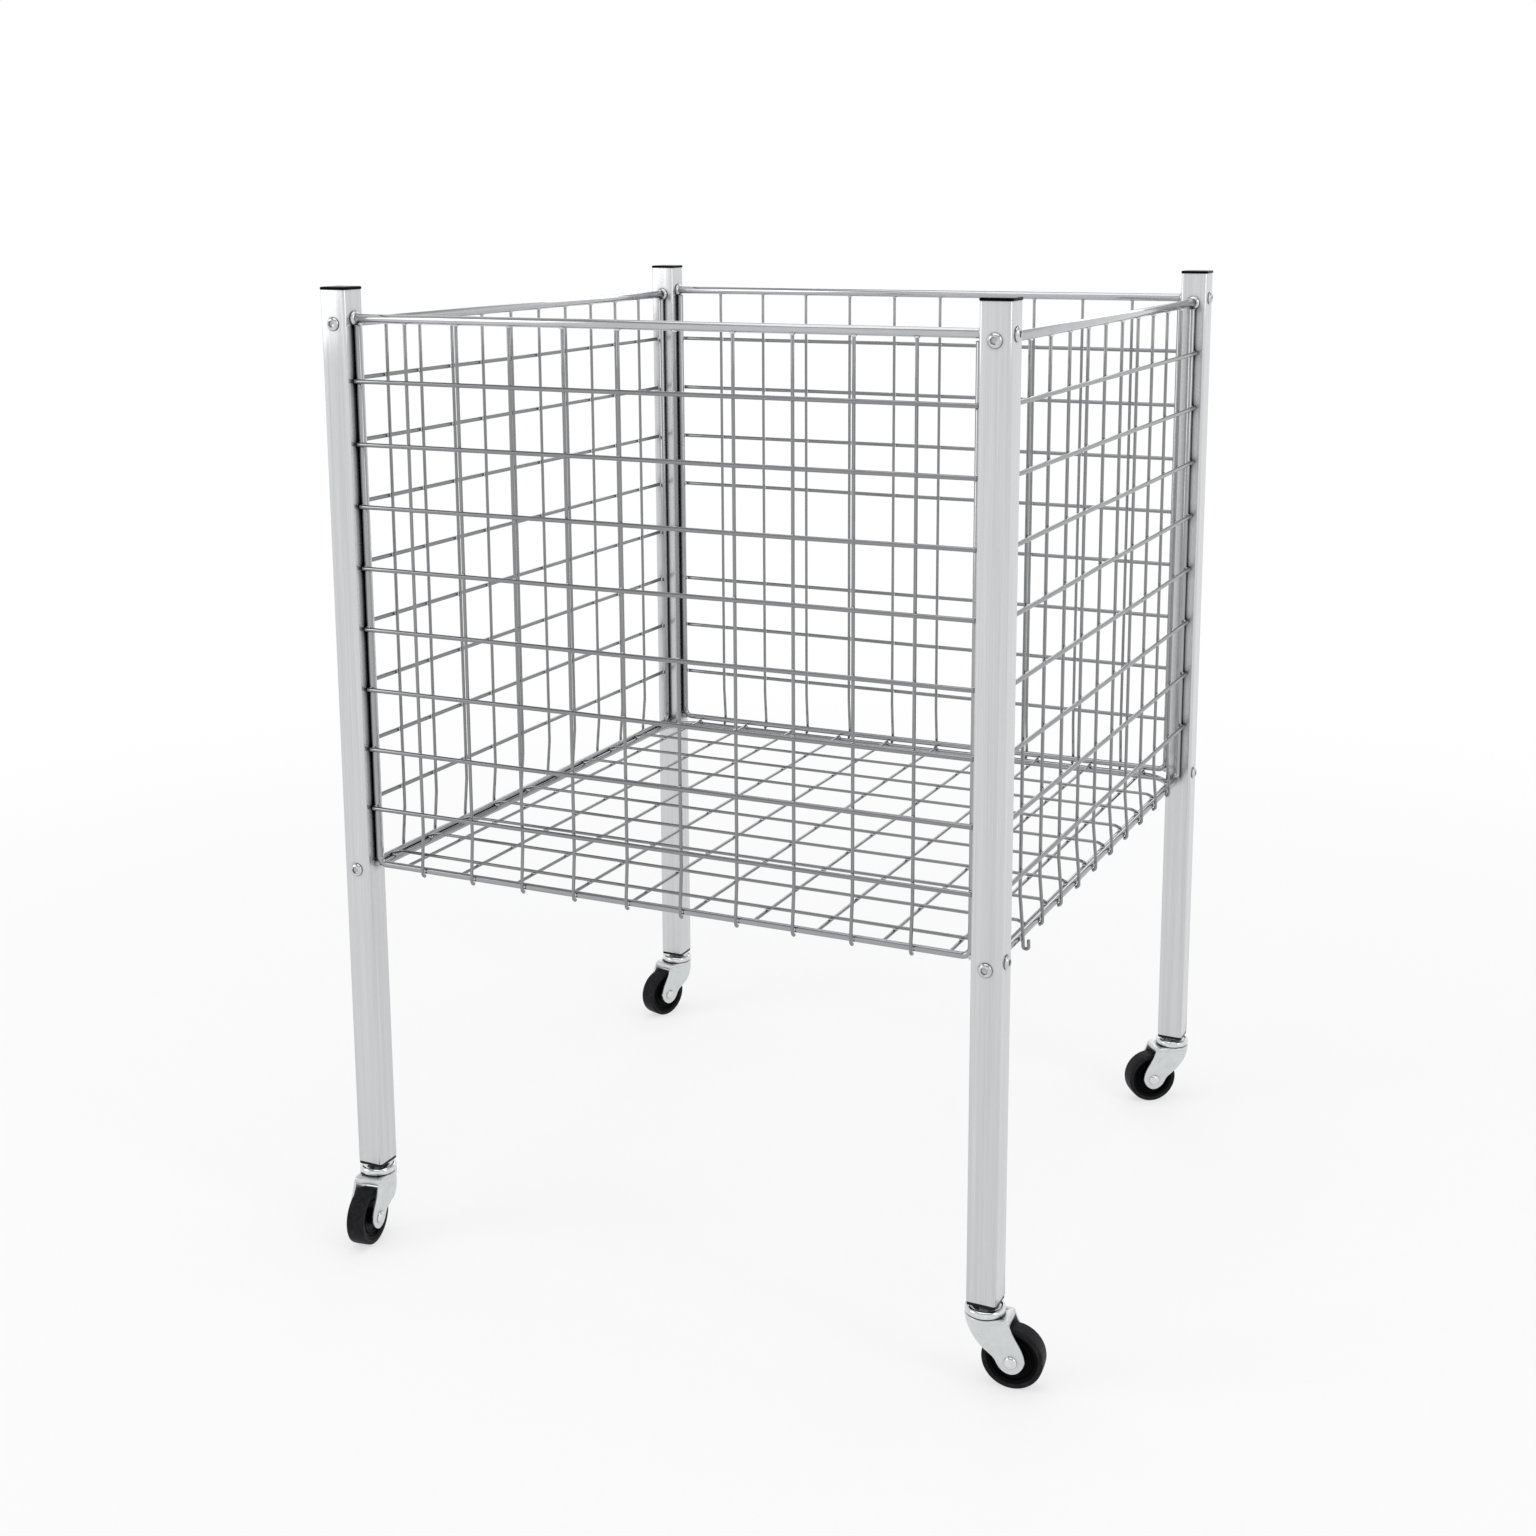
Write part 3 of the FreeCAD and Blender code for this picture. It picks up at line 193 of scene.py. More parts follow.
def grey(v, tint=0.0):
    return (v * (1 - tint), v, v * (1 + tint))


# ------------------------------------------------------------------ materials
def post_material():
    m = Mat("satin_aluminium", Metallic=0.88)
    fine = m.noise(m.coords("Object", (1500, 1500, 7)), 1.0, 4.0, 0.6)
    broad = m.noise(m.coords("Object", (240, 240, 1.6)), 1.0, 2.0, 0.5)
    cloud = m.noise(m.coords("Object", (14, 14, 9)), 1.0, 3.0, 0.5)
    mixed = m.math("ADD", m.math("MULTIPLY", fine, 0.6), m.math("MULTIPLY", broad, 0.4))
    base = m.ramp(mixed, [(0.3, grey(0.53, 0.012)), (0.5, grey(0.61, 0.012)), (0.7, grey(0.69, 0.012))])
    base = m.mix(m.remap(cloud, 0.0, 0.22, 0.35, 0.7), base, grey(0.585, 0.02))
    # Painted shade: the base colour goes nearly black where frame rods, caps and plugs stand close to the post faces.
    m.set("Base Color", m.painted_crevice_shade(base, 0.012, 0.35, 0.92, 0.01))
    m.set("Roughness", m.remap(mixed, 0.16, 0.28, 0.3, 0.7))
    m.set("Normal", m.bump(fine, 0.14, 0.00006))
    return m.m


def wire_material(name, value, rough_lo, rough_hi, tint=0.012):
    m = Mat(name, Metallic=1.0)
    line = m.noise(m.coords("UV", (2600, 26, 1)), 1.0, 3.0, 0.6)
    patch = m.noise(m.coords("UV", (260, 55, 1)), 1.0, 4.0, 0.6)
    cloud = m.noise(m.coords("Object", (38, 38, 38)), 1.0, 2.0, 0.5)
    mixed = m.math("ADD", m.math("MULTIPLY", line, 0.5), m.math("MULTIPLY", patch, 0.5))
    base = m.ramp(mixed, [(0.32, grey(value * 0.90, tint)), (0.5, grey(value, tint)), (0.68, grey(min(1, value * 1.08), tint))])
    base = m.mix(m.remap(cloud, 0.0, 0.35, 0.35, 0.65), base, (value * 0.93, value * 0.94, value * 0.99))
    # Painted shade: the base colour darkens where these rods cross or touch other parts.
    m.set("Base Color", m.painted_crevice_shade(base, 0.004, 0.2, 0.7, 0.12))
    m.set("Roughness", m.remap(mixed, rough_lo, rough_hi, 0.3, 0.7))
    m.set("Normal", m.bump(mixed, 0.12, 0.00005))
    return m.m


def sheet_material():
    m = Mat("zinc_plated_sheet", Metallic=0.72)
    o = m.coords("Object", (1, 1, 1))
    grain = m.noise(o, 900.0, 3.0, 0.6)
    cloud = m.noise(o, 120.0, 4.0, 0.6, 0.4)
    base = m.ramp(cloud, [(0.3, (0.60, 0.62, 0.63)), (0.55, (0.64, 0.66, 0.67)), (0.75, (0.68, 0.70, 0.71))])
    # Painted shade: the base colour darkens in the gaps between the fork legs, crown, wheel and axle heads.
    m.set("Base Color", m.painted_crevice_shade(base, 0.004, 0.25, 0.75, 0.25))
    mixed = m.math("ADD", m.math("MULTIPLY", grain, 0.4), m.math("MULTIPLY", cloud, 0.6))
    m.set("Roughness", m.remap(mixed, 0.26, 0.33, 0.3, 0.7))
    m.set("Normal", m.bump(mixed, 0.04, 0.0001))
    return m.m


def chrome_material():
    m = Mat("bright_chrome", Metallic=1.0)
    o = m.coords("Object", (1, 1, 1))
    cloud = m.noise(o, 220.0, 3.0, 0.55)
    scuff = m.noise(o, 1700.0, 2.0, 0.5)
    # Painted shade: the base colour darkens round the axle heads and under the bearing cup.
    m.set("Base Color", m.painted_crevice_shade(m.ramp(cloud, [(0.35, (0.64, 0.65, 0.66)), (0.65, (0.74, 0.745, 0.75))]), 0.003, 0.35, 0.85, 0.05))
    m.set("Roughness", m.remap(m.math("MULTIPLY", cloud, scuff), 0.05, 0.16, 0.1, 0.45))
    m.set("Normal", m.bump(cloud, 0.05, 0.0001))
    return m.m


def steel_material():
    m = Mat("fastener_bright_steel", Metallic=1.0)
    o = m.coords("Object", (1, 1, 1))
    grain = m.noise(o, 1300.0, 3.0, 0.6)
    cloud = m.noise(o, 260.0, 3.0, 0.5)
    base = m.ramp(cloud, [(0.35, (0.50, 0.51, 0.53)), (0.65, (0.64, 0.65, 0.66))])
    # Painted shade: the base colour darkens in the screw sockets and round the heads and collars.
    m.set("Base Color", m.painted_crevice_shade(base, 0.0035, 0.35, 0.85, 0.02))
    m.set("Roughness", m.remap(grain, 0.10, 0.22, 0.3, 0.7))
    m.set("Normal", m.bump(grain, 0.08, 0.00005))
    return m.m


def stem_material():
    m = Mat("stem_dark_steel_and_painted_shade", Metallic=1.0)
    o = m.coords("Object", (1, 1, 1))
    grain = m.noise(o, 1100.0, 3.0, 0.6)
    cloud = m.noise(o, 300.0, 3.0, 0.5)
    # Dark steel: partly the stem's own dark finish and partly painted shade for the dark gap under the post.
    m.set("Base Color", m.ramp(cloud, [(0.35, (0.10, 0.10, 0.105)), (0.65, (0.20, 0.20, 0.21))]))
    m.set("Roughness", m.remap(grain, 0.14, 0.30, 0.3, 0.7))
    m.set("Normal", m.bump(grain, 0.1, 0.00006))
    return m.m


def weld_material():
    m = Mat("welded_zinc", Metallic=1.0)
    o = m.coords("Object", (1, 1, 1))
    grain = m.noise(o, 1500.0, 3.0, 0.65)
    cloud = m.noise(o, 420.0, 3.0, 0.5)
    m.set("Base Color", m.ramp(cloud, [(0.3, (0.50, 0.50, 0.52)), (0.7, (0.70, 0.71, 0.73))]))
    m.set("Roughness", m.remap(grain, 0.28, 0.48, 0.3, 0.7))
    m.set("Normal", m.bump(grain, 0.25, 0.0001))
    return m.m


def plastic_material(name, value, rough_lo, rough_hi, grain_scale, depth, bump=0.15, shine=0.4):
    m = Mat(name)
    o = m.coords("Object", (1, 1, 1))
    grain = m.noise(o, grain_scale, 3.0, 0.6)
    cloud = m.noise(o, 90.0, 3.0, 0.5)
    m.set("Base Color", m.ramp(cloud, [(0.3, grey(value * 0.8)), (0.7, grey(value * 1.25, 0.03))]))
    m.set("Roughness", m.remap(m.math("ADD", m.math("MULTIPLY", grain, 0.6), m.math("MULTIPLY", cloud, 0.4)),
                               rough_lo, rough_hi, 0.3, 0.7))
    m.set("Specular IOR Level", shine)
    m.set("Normal", m.bump(grain, bump, depth))
    return m.m


def rubber_material():
    m = Mat("tyre_rubber")
    o = m.coords("Object", (1, 1, 1))
    grain = m.noise(o, 1800.0, 3.0, 0.65)
    scuff = m.noise(o, 240.0, 4.0, 0.65, 0.6)
    dust = m.voronoi(o, 900.0)
    base = m.ramp(scuff, [(0.30, (0.008, 0.008, 0.009)), (0.55, (0.014, 0.014, 0.016)), (0.75, (0.028, 0.028, 0.031))])
    m.set("Base Color", base)
    m.set("Roughness", m.remap(scuff, 0.36, 0.55, 0.3, 0.7))
    m.set("Specular IOR Level", 0.06)
    h = m.math("ADD", grain, m.math("MULTIPLY", dust.outputs["Distance"], 0.4))
    m.set("Normal", m.bump(h, 0.25, 0.0001))
    return m.m


M_POST = post_material()
# The rails, frame rods and wires are one plating. The frame rods' and wires' lower base greys are painted shade: darker
# copies of the rail's grey.
M_RAIL = wire_material("plated_rail", 0.50, 0.08, 0.17)
M_WIRE = wire_material("plated_wire", 0.27, 0.08, 0.17)
M_FRAME = wire_material("plated_frame_rod", 0.36, 0.08, 0.17)
M_SHEET = sheet_material()
M_CHROME = chrome_material()
M_STEEL = steel_material()
M_WELD = weld_material()
M_STEM = stem_material()
M_CAP = plastic_material("cap_plastic_black", 0.0015, 0.22, 0.34, 1400.0, 0.00005, 0.10, 0.03)
M_PLUG = plastic_material("plug_plastic_black", 0.002, 0.25, 0.4, 1400.0, 0.00005, 0.15, 0.2)
M_WHEEL = plastic_material("wheel_plastic_black", 0.002, 0.26, 0.40, 1200.0, 0.00008, 0.15, 0.04)
M_TYRE = rubber_material()


# ------------------------------------------------------------------ mesh helpers
def finish_mesh(name, verts, faces, mat, body, uvs=None, sharp=35.0, replaces=(), scale=MM):
    me = bpy.data.meshes.new(name)
    me.from_pydata([tuple(c * scale for c in v) for v in verts], [], faces)
    me.validate()
    if uvs is not None:
        layer = me.uv_layers.new(name="UVMap")
        flat = []
        for f in uvs:
            for u, v in f:
                flat += [u * scale, v * scale]
        layer.data.foreach_set("uv", flat)
    for p in me.polygons:
        p.use_smooth = True
    me.set_sharp_from_angle(angle=math.radians(sharp))
    me.materials.append(mat)
    me.update()
    obj = bpy.data.objects.new(name, me)
    scene.collection.objects.link(obj)
    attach(obj, body)
    if replaces:
        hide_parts(*replaces)
    return obj


class Build:
    """Collects several closed shells into one mesh."""

    def __init__(self):
        self.v, self.f, self.uv = [], [], []

    def add(self, verts, faces, uvs):
        base = len(self.v)
        self.v += [tuple(p) for p in verts]
        self.f += [tuple(i + base for i in f) for f in faces]
        self.uv += uvs

    def turned(self, matrix):
        self.v = [tuple(matrix @ Vector(p)) for p in self.v]
        return self


def bent(points, radii, steps=8, closed=False):
    """Centre line with every corner rounded to its bend radius; long straights are kept as straights."""
    pts = [Vector(p) for p in points]
    n = len(pts)
    out = []
    idx = range(n) if closed else range(1, n - 1)
    if not closed:
        out.append(pts[0])
    for j, i in enumerate(idx):
        a, b, c = pts[i - 1], pts[i], pts[(i + 1) % n]
        d1, d2 = (a - b).normalized(), (c - b).normalized()
        ang = d1.angle(d2)
        r = radii[j]
        t = r / math.tan(ang / 2)
        p1, p2 = b + d1 * t, b + d2 * t
        mid = (d1 + d2).normalized()
        cen = b + mid * (r / math.sin(ang / 2))
        v1, v2 = p1 - cen, p2 - cen
        sweep = math.pi - ang
        k = max(3, int(steps * sweep / (math.pi / 2)) + 1)
        axis = v1.cross(v2).normalized()
        for s in range(k + 1):
            out.append(cen + Matrix.Rotation(sweep * s / k, 3, axis) @ v1)
    if not closed:
        out.append(pts[-1])
    return out


def tube(bld, path, radius, normal, segs=20, closed=False, tips=("flat", "flat"), chamfer=0.35, v0=0.0):
    """Round rod along a plane path. normal is square to the path's plane."""
    nrm = Vector(normal).normalized()
    n = len(path)
    tang = []
    for i in range(n):
        if closed:
            t = (path[(i + 1) % n] - path[i]).normalized() + (path[i] - path[i - 1]).normalized()
        elif i == 0:
            t = path[1] - path[0]
        elif i == n - 1:
            t = path[-1] - path[-2]
        else:
            t = (path[i + 1] - path[i]).normalized() + (path[i] - path[i - 1]).normalized()
        tang.append(t.normalized())
    rings = []          # (centre, tangent, radius)
    if not closed:
        def tip(p, t, kind, sign):
            if kind == "round":
                out = []
                for a in (12, 35, 58, 78):
                    a = math.radians(a)
                    out.append((p + t * sign * radius * 0.9 * math.cos(a) - t * sign * radius * 0.9, t, radius * math.sin(a)))
                return out
            return [(p, t, radius - chamfer), (p - t * sign * chamfer * 0.35, t, radius - chamfer * 0.35),
                    (p - t * sign * chamfer, t, radius)]
        first = tip(path[0], tang[0], tips[0], -1)
        last = tip(path[-1], tang[-1], tips[1], 1)[::-1]
        body = []
        for i in range(n):
            p = path[i]
            if i == 0:
                p = p + tang[0] * (radius * 0.9 if tips[0] == "round" else chamfer * 1.01)
                if tips[0] != "round":
                    continue
            if i == n - 1:
                p = p - tang[-1] * (radius * 0.9 if tips[1] == "round" else chamfer * 1.01)
                if tips[1] != "round":
                    continue
            body.append((p, tang[i], radius))
        rings = first + body + last
    else:
        rings = [(path[i], tang[i], radius) for i in range(n)]
    verts, faces, uvs = [], [], []
    lens = [v0]
    for a, b in zip(rings, rings[1:]):
        lens.append(lens[-1] + (b[0] - a[0]).length)
    circ = 2 * math.pi * radius
    for c, t, r in rings:
        side = t.cross(nrm).normalized()
        for k in range(segs):
            a = 2 * math.pi * k / segs
            verts.append(c + nrm * (r * math.cos(a)) + side * (r * math.sin(a)))
    m = len(rings)
    for i in range(m if closed else m - 1):
        j = (i + 1) % m
        l0 = lens[i]
        l1 = lens[j] if j else lens[-1] + (rings[0][0] - rings[-1][0]).length
        for k in range(segs):
            q = (k + 1) % segs
            faces.append((i * segs + k, i * segs + q, j * segs + q, j * segs + k))
            u0, u1 = circ * k / segs, circ * (k + 1) / segs
            uvs.append([(u0, l0), (u1, l0), (u1, l1), (u0, l1)])
    if not closed:
        for ring, flip in ((0, True), (m - 1, False)):
            ids = [ring * segs + k for k in range(segs)]
            if flip:
                ids = ids[::-1]
            faces.append(tuple(ids))
            uvs.append([(verts[i].x * 1.0, verts[i].z * 1.0) for i in ids])
    bld.add(verts, faces, uvs)


def lathe(bld, profile, segs, matrix=None, closed=True):
    """Turns a closed (radius, height) outline about +Z. Points on the axis become single vertices."""
    verts, faces, uvs, index = [], [], [], []
    for r, z in profile:
        if r < 1e-6:
            index.append([len(verts)] * segs)
            verts.append(Vector((0, 0, z)))
        else:
            ring = []
            for k in range(segs):
                a = 2 * math.pi * k / segs
                ring.append(len(verts))
                verts.append(Vector((r * math.cos(a), r * math.sin(a), z)))
            index.append(ring)
    length = [0.0]
    for a, b in zip(profile, profile[1:] + profile[:1]):
        length.append(length[-1] + math.hypot(b[0] - a[0], b[1] - a[1]))
    rmax = max(r for r, z in profile)
    m = len(profile)
    for i in range(m if closed else m - 1):
        a, b = index[i], index[(i + 1) % m]
        for k in range(segs):
            q = (k + 1) % segs
            ids = [a[k], a[q], b[q], b[k]]
            u0, u1 = rmax * 2 * math.pi * k / segs, rmax * 2 * math.pi * (k + 1) / segs
            uv = [(u0, length[i]), (u1, length[i]), (u1, length[i + 1]), (u0, length[i + 1])]
            keep = [j for j in range(4) if ids[j] != ids[j - 1]]
            if len(keep) < 3:
                continue
            faces.append(tuple(ids[j] for j in keep))
            uvs.append([uv[j] for j in keep])
    if matrix is not None:
        verts = [matrix @ v for v in verts]
    bld.add(verts, faces, uvs)


def fix_normals(obj):
    bm = bmesh.new()
    bm.from_mesh(obj.data)
    bmesh.ops.recalc_face_normals(bm, faces=bm.faces)
    bm.to_mesh(obj.data)
    bm.free()
    obj.data.update()


def rounded_square(half, radius, segs=8, flat=3):
    """Outline of a square with rounded corners."""
    pts = []
    for qx, qy, a0 in ((1, 1, 0), (-1, 1, 90), (-1, -1, 180), (1, -1, 270)):
        cx, cy = qx * (half - radius), qy * (half - radius)
        for k in range(segs + 1):
            a = math.radians(a0 + 90.0 * k / segs)
            pts.append((cx + radius * math.cos(a), cy + radius * math.sin(a)))
        nx, ny = [(-1, 1), (-1, -1), (1, -1), (1, 1)][[0, 90, 180, 270].index(a0)]
        ex, ey = nx * (half - radius), ny * (half - radius)
        a = math.radians(a0 + 90)
        sx, sy = pts[-1]
        tx, ty = ex + radius * math.cos(a), ey + radius * math.sin(a)
        for k in range(1, flat):
            pts.append((sx + (tx - sx) * k / flat, sy + (ty - sy) * k / flat))
    return pts


def loft(bld, loops, cap_first=True, cap_last=True, centre=(0, 0)):
    """Joins closed outlines of equal count. loops is a list of (points, z)."""
    n = len(loops[0][0])
    verts, faces, uvs = [], [], []
    run = [0.0]
    base = loops[0][0]
    for i in range(n):
        a, b = base[i], base[(i + 1) % n]
        run.append(run[-1] + math.hypot(b[0] - a[0], b[1] - a[1]))
    for pts, z in loops:
        for x, y in pts:
            verts.append(Vector((x + centre[0], y + centre[1], z)))
    dist = [0.0]
    for (p0, z0), (p1, z1) in zip(loops, loops[1:]):
        dist.append(dist[-1] + abs(z1 - z0) + math.hypot(p1[0][0] - p0[0][0], p1[0][1] - p0[0][1]))
    for i in range(len(loops) - 1):
        for k in range(n):
            q = (k + 1) % n
            faces.append((i * n + k, i * n + q, (i + 1) * n + q, (i + 1) * n + k))
            uvs.append([(run[k], dist[i]), (run[k + 1], dist[i]), (run[k + 1], dist[i + 1]), (run[k], dist[i + 1])])
    for do, ring, flip in ((cap_first, 0, True), (cap_last, len(loops) - 1, False)):
        if do:
            ids = [ring * n + k for k in range(n)]
            if flip:
                ids = ids[::-1]
            faces.append(tuple(ids))
            uvs.append([(verts[i].x, verts[i].y) for i in ids])
    bld.add(verts, faces, uvs)


# ------------------------------------------------------------------ posts and caps
def build_posts():
    half, rad, wall = 13.0, 2.5, 1.5
    z0, z1 = 73.0, 885.0
    for key, (sx, sy, _) in CORNERS.items():
        b = Build()
        loops = []
        ch = 0.35
        out = lambda d, z: (rounded_square(half - d, rad - d * 0.6, 10), z)
        inn = lambda d, z: (rounded_square(half - wall + d, rad - wall + d * 0.6, 10), z)
        loops += [out(ch, z0), out(ch * 0.3, z0 + ch * 0.3), out(0, z0 + ch)]
        for k in range(1, 12):
            loops.append(out(0, z0 + (z1 - z0) * k / 12))
        loops += [out(0, z1 - ch), out(ch * 0.3, z1 - ch * 0.3), out(ch, z1)]
        loops += [inn(0.2, z1), inn(0, z1 - 0.3), inn(0, z0 + 0.3), inn(0.2, z0)]
        loops.append(loops[0])
        loft(b, loops, False, False, (sx * HX, sy * HY))
        o = finish_mesh("post_tube_" + key, b.v, b.f, M_POST, "bin", b.uv, 30, ("post_" + key,))
        weld_doubles(o)


def weld_doubles(obj, dist=1e-7):
    bm = bmesh.new()
    bm.from_mesh(obj.data)
    bmesh.ops.remove_doubles(bm, verts=bm.verts, dist=dist)
    bmesh.ops.recalc_face_normals(bm, faces=bm.faces)
    bm.to_mesh(obj.data)
    bm.free()
    obj.data.update()


def build_caps():
    half, rad = 13.6, 3.0
    z = 885.0
    for key, (sx, sy, _) in CORNERS.items():
        b = Build()
        sq = lambda d, zz: (rounded_square(half - d, max(rad - d * 0.8, 0.6), 8), z + zz)
        loops = [sq(1.9, -0.0), sq(0.18, 0.0), sq(0.03, 0.1), sq(0, 0.28), sq(0, 1.35), sq(0.10, 1.72), sq(0.32, 2.05),
                 sq(0.66, 2.28), sq(1.1, 2.40), sq(2.6, 2.46), sq(6.0, 2.50), sq(10.0, 2.50)]
        loft(b, loops, True, True, (sx * HX, sy * HY))
        # spigot inside the tube
        s1 = lambda d, zz: (rounded_square(10.95 - d, 1.2, 3), z + zz)
        loft(b, [s1(0.6, -12.0), s1(0, -11.4), s1(0, -0.02), s1(2.0, -0.02)], True, True, (sx * HX, sy * HY))
        o = finish_mesh("cap_" + key, b.v, b.f, M_CAP, "bin", b.uv, 40, ("post_cap_" + key,))
        fix_normals(o)


# ------------------------------------------------------------------ panels
def panel_matrix(key):
    px, py, turn = PANELS[key]
    return Matrix.Translation((px * HX, py * HY, 0)) @ Matrix.Rotation(math.radians(turn), 4, "Z")


def wobble(a, b, n, amp, normal_axis):
    """A straight wire that isn't dead straight: small slow sway in one direction."""
    ph1, ph2 = rnd.uniform(0, 6.28), rnd.uniform(0, 6.28)
    out = []
    for i in range(n + 1):
        t = i / n
        s = math.sin(math.pi * t)
        d = amp * s * (0.6 * math.sin(5.1 * t + ph1) + 0.4 * math.sin(11.3 * t + ph2))
        p = Vector(a).lerp(Vector(b), t)
        p[normal_axis] += d
        out.append(p)
    return out


def nugget(bld, p, ax, ay, az, sizes, segs=12, rings=6):
    """Flattened drop of weld metal between two crossed wires."""
    ax, ay, az = Vector(ax).normalized(), Vector(ay).normalized(), Vector(az).normalized()
    a, b, c = (s * rnd.uniform(0.9, 1.1) for s in sizes)
    verts, faces, uvs = [], [], []
    top = len(verts)
    verts.append(p + az * c)
    for i in range(1, rings):
        th = math.pi * i / rings
        for k in range(segs):
            ph = 2 * math.pi * k / segs
            q = 1.0 + 0.10 * math.cos(2 * ph) ** 2
            verts.append(p + ax * (a * q * math.sin(th) * math.cos(ph)) + ay * (b * q * math.sin(th) * math.sin(ph)) + az * (c * math.cos(th)))
    verts.append(p - az * c)
    last = len(verts) - 1
    for k in range(segs):
        q = (k + 1) % segs
        faces.append((top, 1 + k, 1 + q))
        uvs.append([(0, 0), (k, 1), (q, 1)])
    for i in range(rings - 2):
        for k in range(segs):
            q = (k + 1) % segs
            faces.append((1 + i * segs + k, 1 + (i + 1) * segs + k, 1 + (i + 1) * segs + q, 1 + i * segs + q))
            uvs.append([(k, i), (k, i + 1), (q, i + 1), (q, i)])
    base = 1 + (rings - 2) * segs
    for k in range(segs):
        q = (k + 1) % segs
        faces.append((base + k, last, base + q))
        uvs.append([(k, 5), (0, 6), (q, 5)])
    bld.add(verts, faces, uvs)


def build_panels():
    welds_name = "panel_welds_"
    for key in PANELS:
        mtx = panel_matrix(key)
        top, foot = RAIL_Z[key] - 4.1, FOOT_Z[key]
        side_x = FACE - 3.4
        rows = [805.5 - 55.3 * i for i in range(8)]
        cols = [(i - 4.5) * 52.44 for i in range(10)]
        # top rail
        b = Build()
        tube(b, [Vector((-FACE, 0, RAIL_Z[key])), Vector((0, 0, RAIL_Z[key])), Vector((FACE, 0, RAIL_Z[key]))], 4.0, (0, 1, 0), 32, chamfer=0.4)
        fix_normals(finish_mesh("rail_" + key, b.turned(mtx).v, b.f, M_RAIL, "bin", b.uv, 35, ("top_rail_" + key,)))
        # U-bent frame rod
        b = Build()
        rise = RAIL_Z[key] - 6.6
        path = bent([(-side_x, 0, rise), (-side_x, 0, foot), (side_x, 0, foot), (side_x, 0, rise)], [8, 8], 12)
        tube(b, path, 3.0, (0, 1, 0), 28, chamfer=0.3)
        fix_normals(finish_mesh("frame_rod_" + key, b.turned(mtx).v, b.f, M_FRAME, "bin", b.uv, 35, ("panel_frame_" + key,)))
        # horizontal wires
        b = Build()
        for z in rows:
            tube(b, wobble((-288.5, -5, z), (288.5, -5, z), 14, 0.35, 2), 2.0, (0, 1, 0), 20, tips=("round", "round"), v0=rnd.uniform(0, 400))
        fix_normals(finish_mesh("wire_rows_" + key, b.turned(mtx).v, b.f, M_WIRE, "bin", b.uv, 40, ("horizontal_wires_" + key,)))
        # upright wires
        b = Build()
        for i, x in enumerate(cols):
            sway = rnd.uniform(-0.25, 0.25)
            if key == "right" and i == 0:
                pts = [(x, -1.5, top), (x, -1.5, foot + 38), (x, -4.5, foot + 4.2), (x, -4.9, foot - 8.1), (x, -9.7, foot - 8.1), (x, -9.5, foot + 0.5)]
                path = bent(pts, [30, 20, 2.2, 2.2], 9)
                tips = ("flat", "round")
            else:
                pts = [(x, -1.5, top), (x, -1.5, foot + 38), (x, -4.5, foot + 4.2), (x, -4.5, foot - 4.59), (x, -1.26, foot - 4.77)]
                path = bent(pts, [30, 20, 3.24], 9)
                tips = ("flat", "round")
            # split the long straight so that it can sway a little
            a0, a1 = path[0], path[1]
            long = [a0.lerp(a1, t / 10) for t in range(10)]
            for t, p in enumerate(long):
                p.x += sway * math.sin(math.pi * t / 10)
            path = long + path[1:]
            tube(b, path, 1.5, (1, 0, 0), 18, tips=tips, v0=rnd.uniform(0, 400))
        fix_normals(finish_mesh("wire_columns_" + key, b.turned(mtx).v, b.f, M_WIRE, "bin", b.uv, 40, ("vertical_wires_" + key,)))
        # resistance welds
        b = Build()
        X, Y, Z = (1, 0, 0), (0, 1, 0), (0, 0, 1)
        for z in rows:
            for x in cols:
                nugget(b, Vector((x, -3.0, z)), X, Z, Y, (2.1, 2.3, 1.15))
            for s in (-1, 1):
                nugget(b, Vector((s * side_x, -3.05, z)), X, Z, Y, (2.9, 2.4, 1.3))
        for x in cols:
            nugget(b, Vector((x, -1.5, RAIL_Z[key] - 3.9)), X, Y, Z, (2.4, 2.3, 1.5))
            nugget(b, Vector((x, -3.1, foot + 0.3)), X, Z, Y, (2.1, 2.0, 1.1))
        for s in (-1, 1):
            nugget(b, Vector((s * side_x, 0, RAIL_Z[key] - 6.3)), X, Y, Z, (3.3, 3.3, 1.0), 16)
        fix_normals(finish_mesh(welds_name + key, b.turned(mtx).v, b.f, M_WELD, "bin", b.uv, 60))


def build_collars_and_screws():
    b = Build()
    for key in PANELS:
        for side in (-1, 1):
            m = panel_matrix(key) @ Matrix.Translation((side * FACE, 0, RAIL_Z[key])) @ Matrix.Rotation(math.radians(-90 * side), 4, "Y")
            prof = [(4.02, 0.02), (6.1, 0.02), (6.38, 0.12), (6.5, 0.4), (6.5, 1.1), (6.38, 1.75), (6.05, 2.3), (5.5, 2.78),
                    (4.95, 3.1), (4.4, 3.32), (4.15, 3.38), (4.02, 3.36)]
            lathe(b, prof, 40, m)
    fix_normals(finish_mesh("rail_collars", b.v, b.f, M_STEEL, "bin", b.uv, 50, ("rail_end_collars",)))
    b = Build()
    for key in PANELS:
        for z in (RAIL_Z[key], FOOT_Z[key]):
            for side in (-1, 1):
                turn = Matrix.Rotation(rnd.uniform(0, math.pi), 4, "Z")
                m = panel_matrix(key) @ Matrix.Translation((side * (FACE + 26.0), 0, z)) @ Matrix.Rotation(math.radians(90 * side), 4, "Y") @ turn
                button_head(b, m, 34.0 if z == RAIL_Z[key] else 27.7)
    fix_normals(finish_mesh("socket_screws", b.v, b.f, M_STEEL, "bin", b.uv, 38, ("post_screws",)))


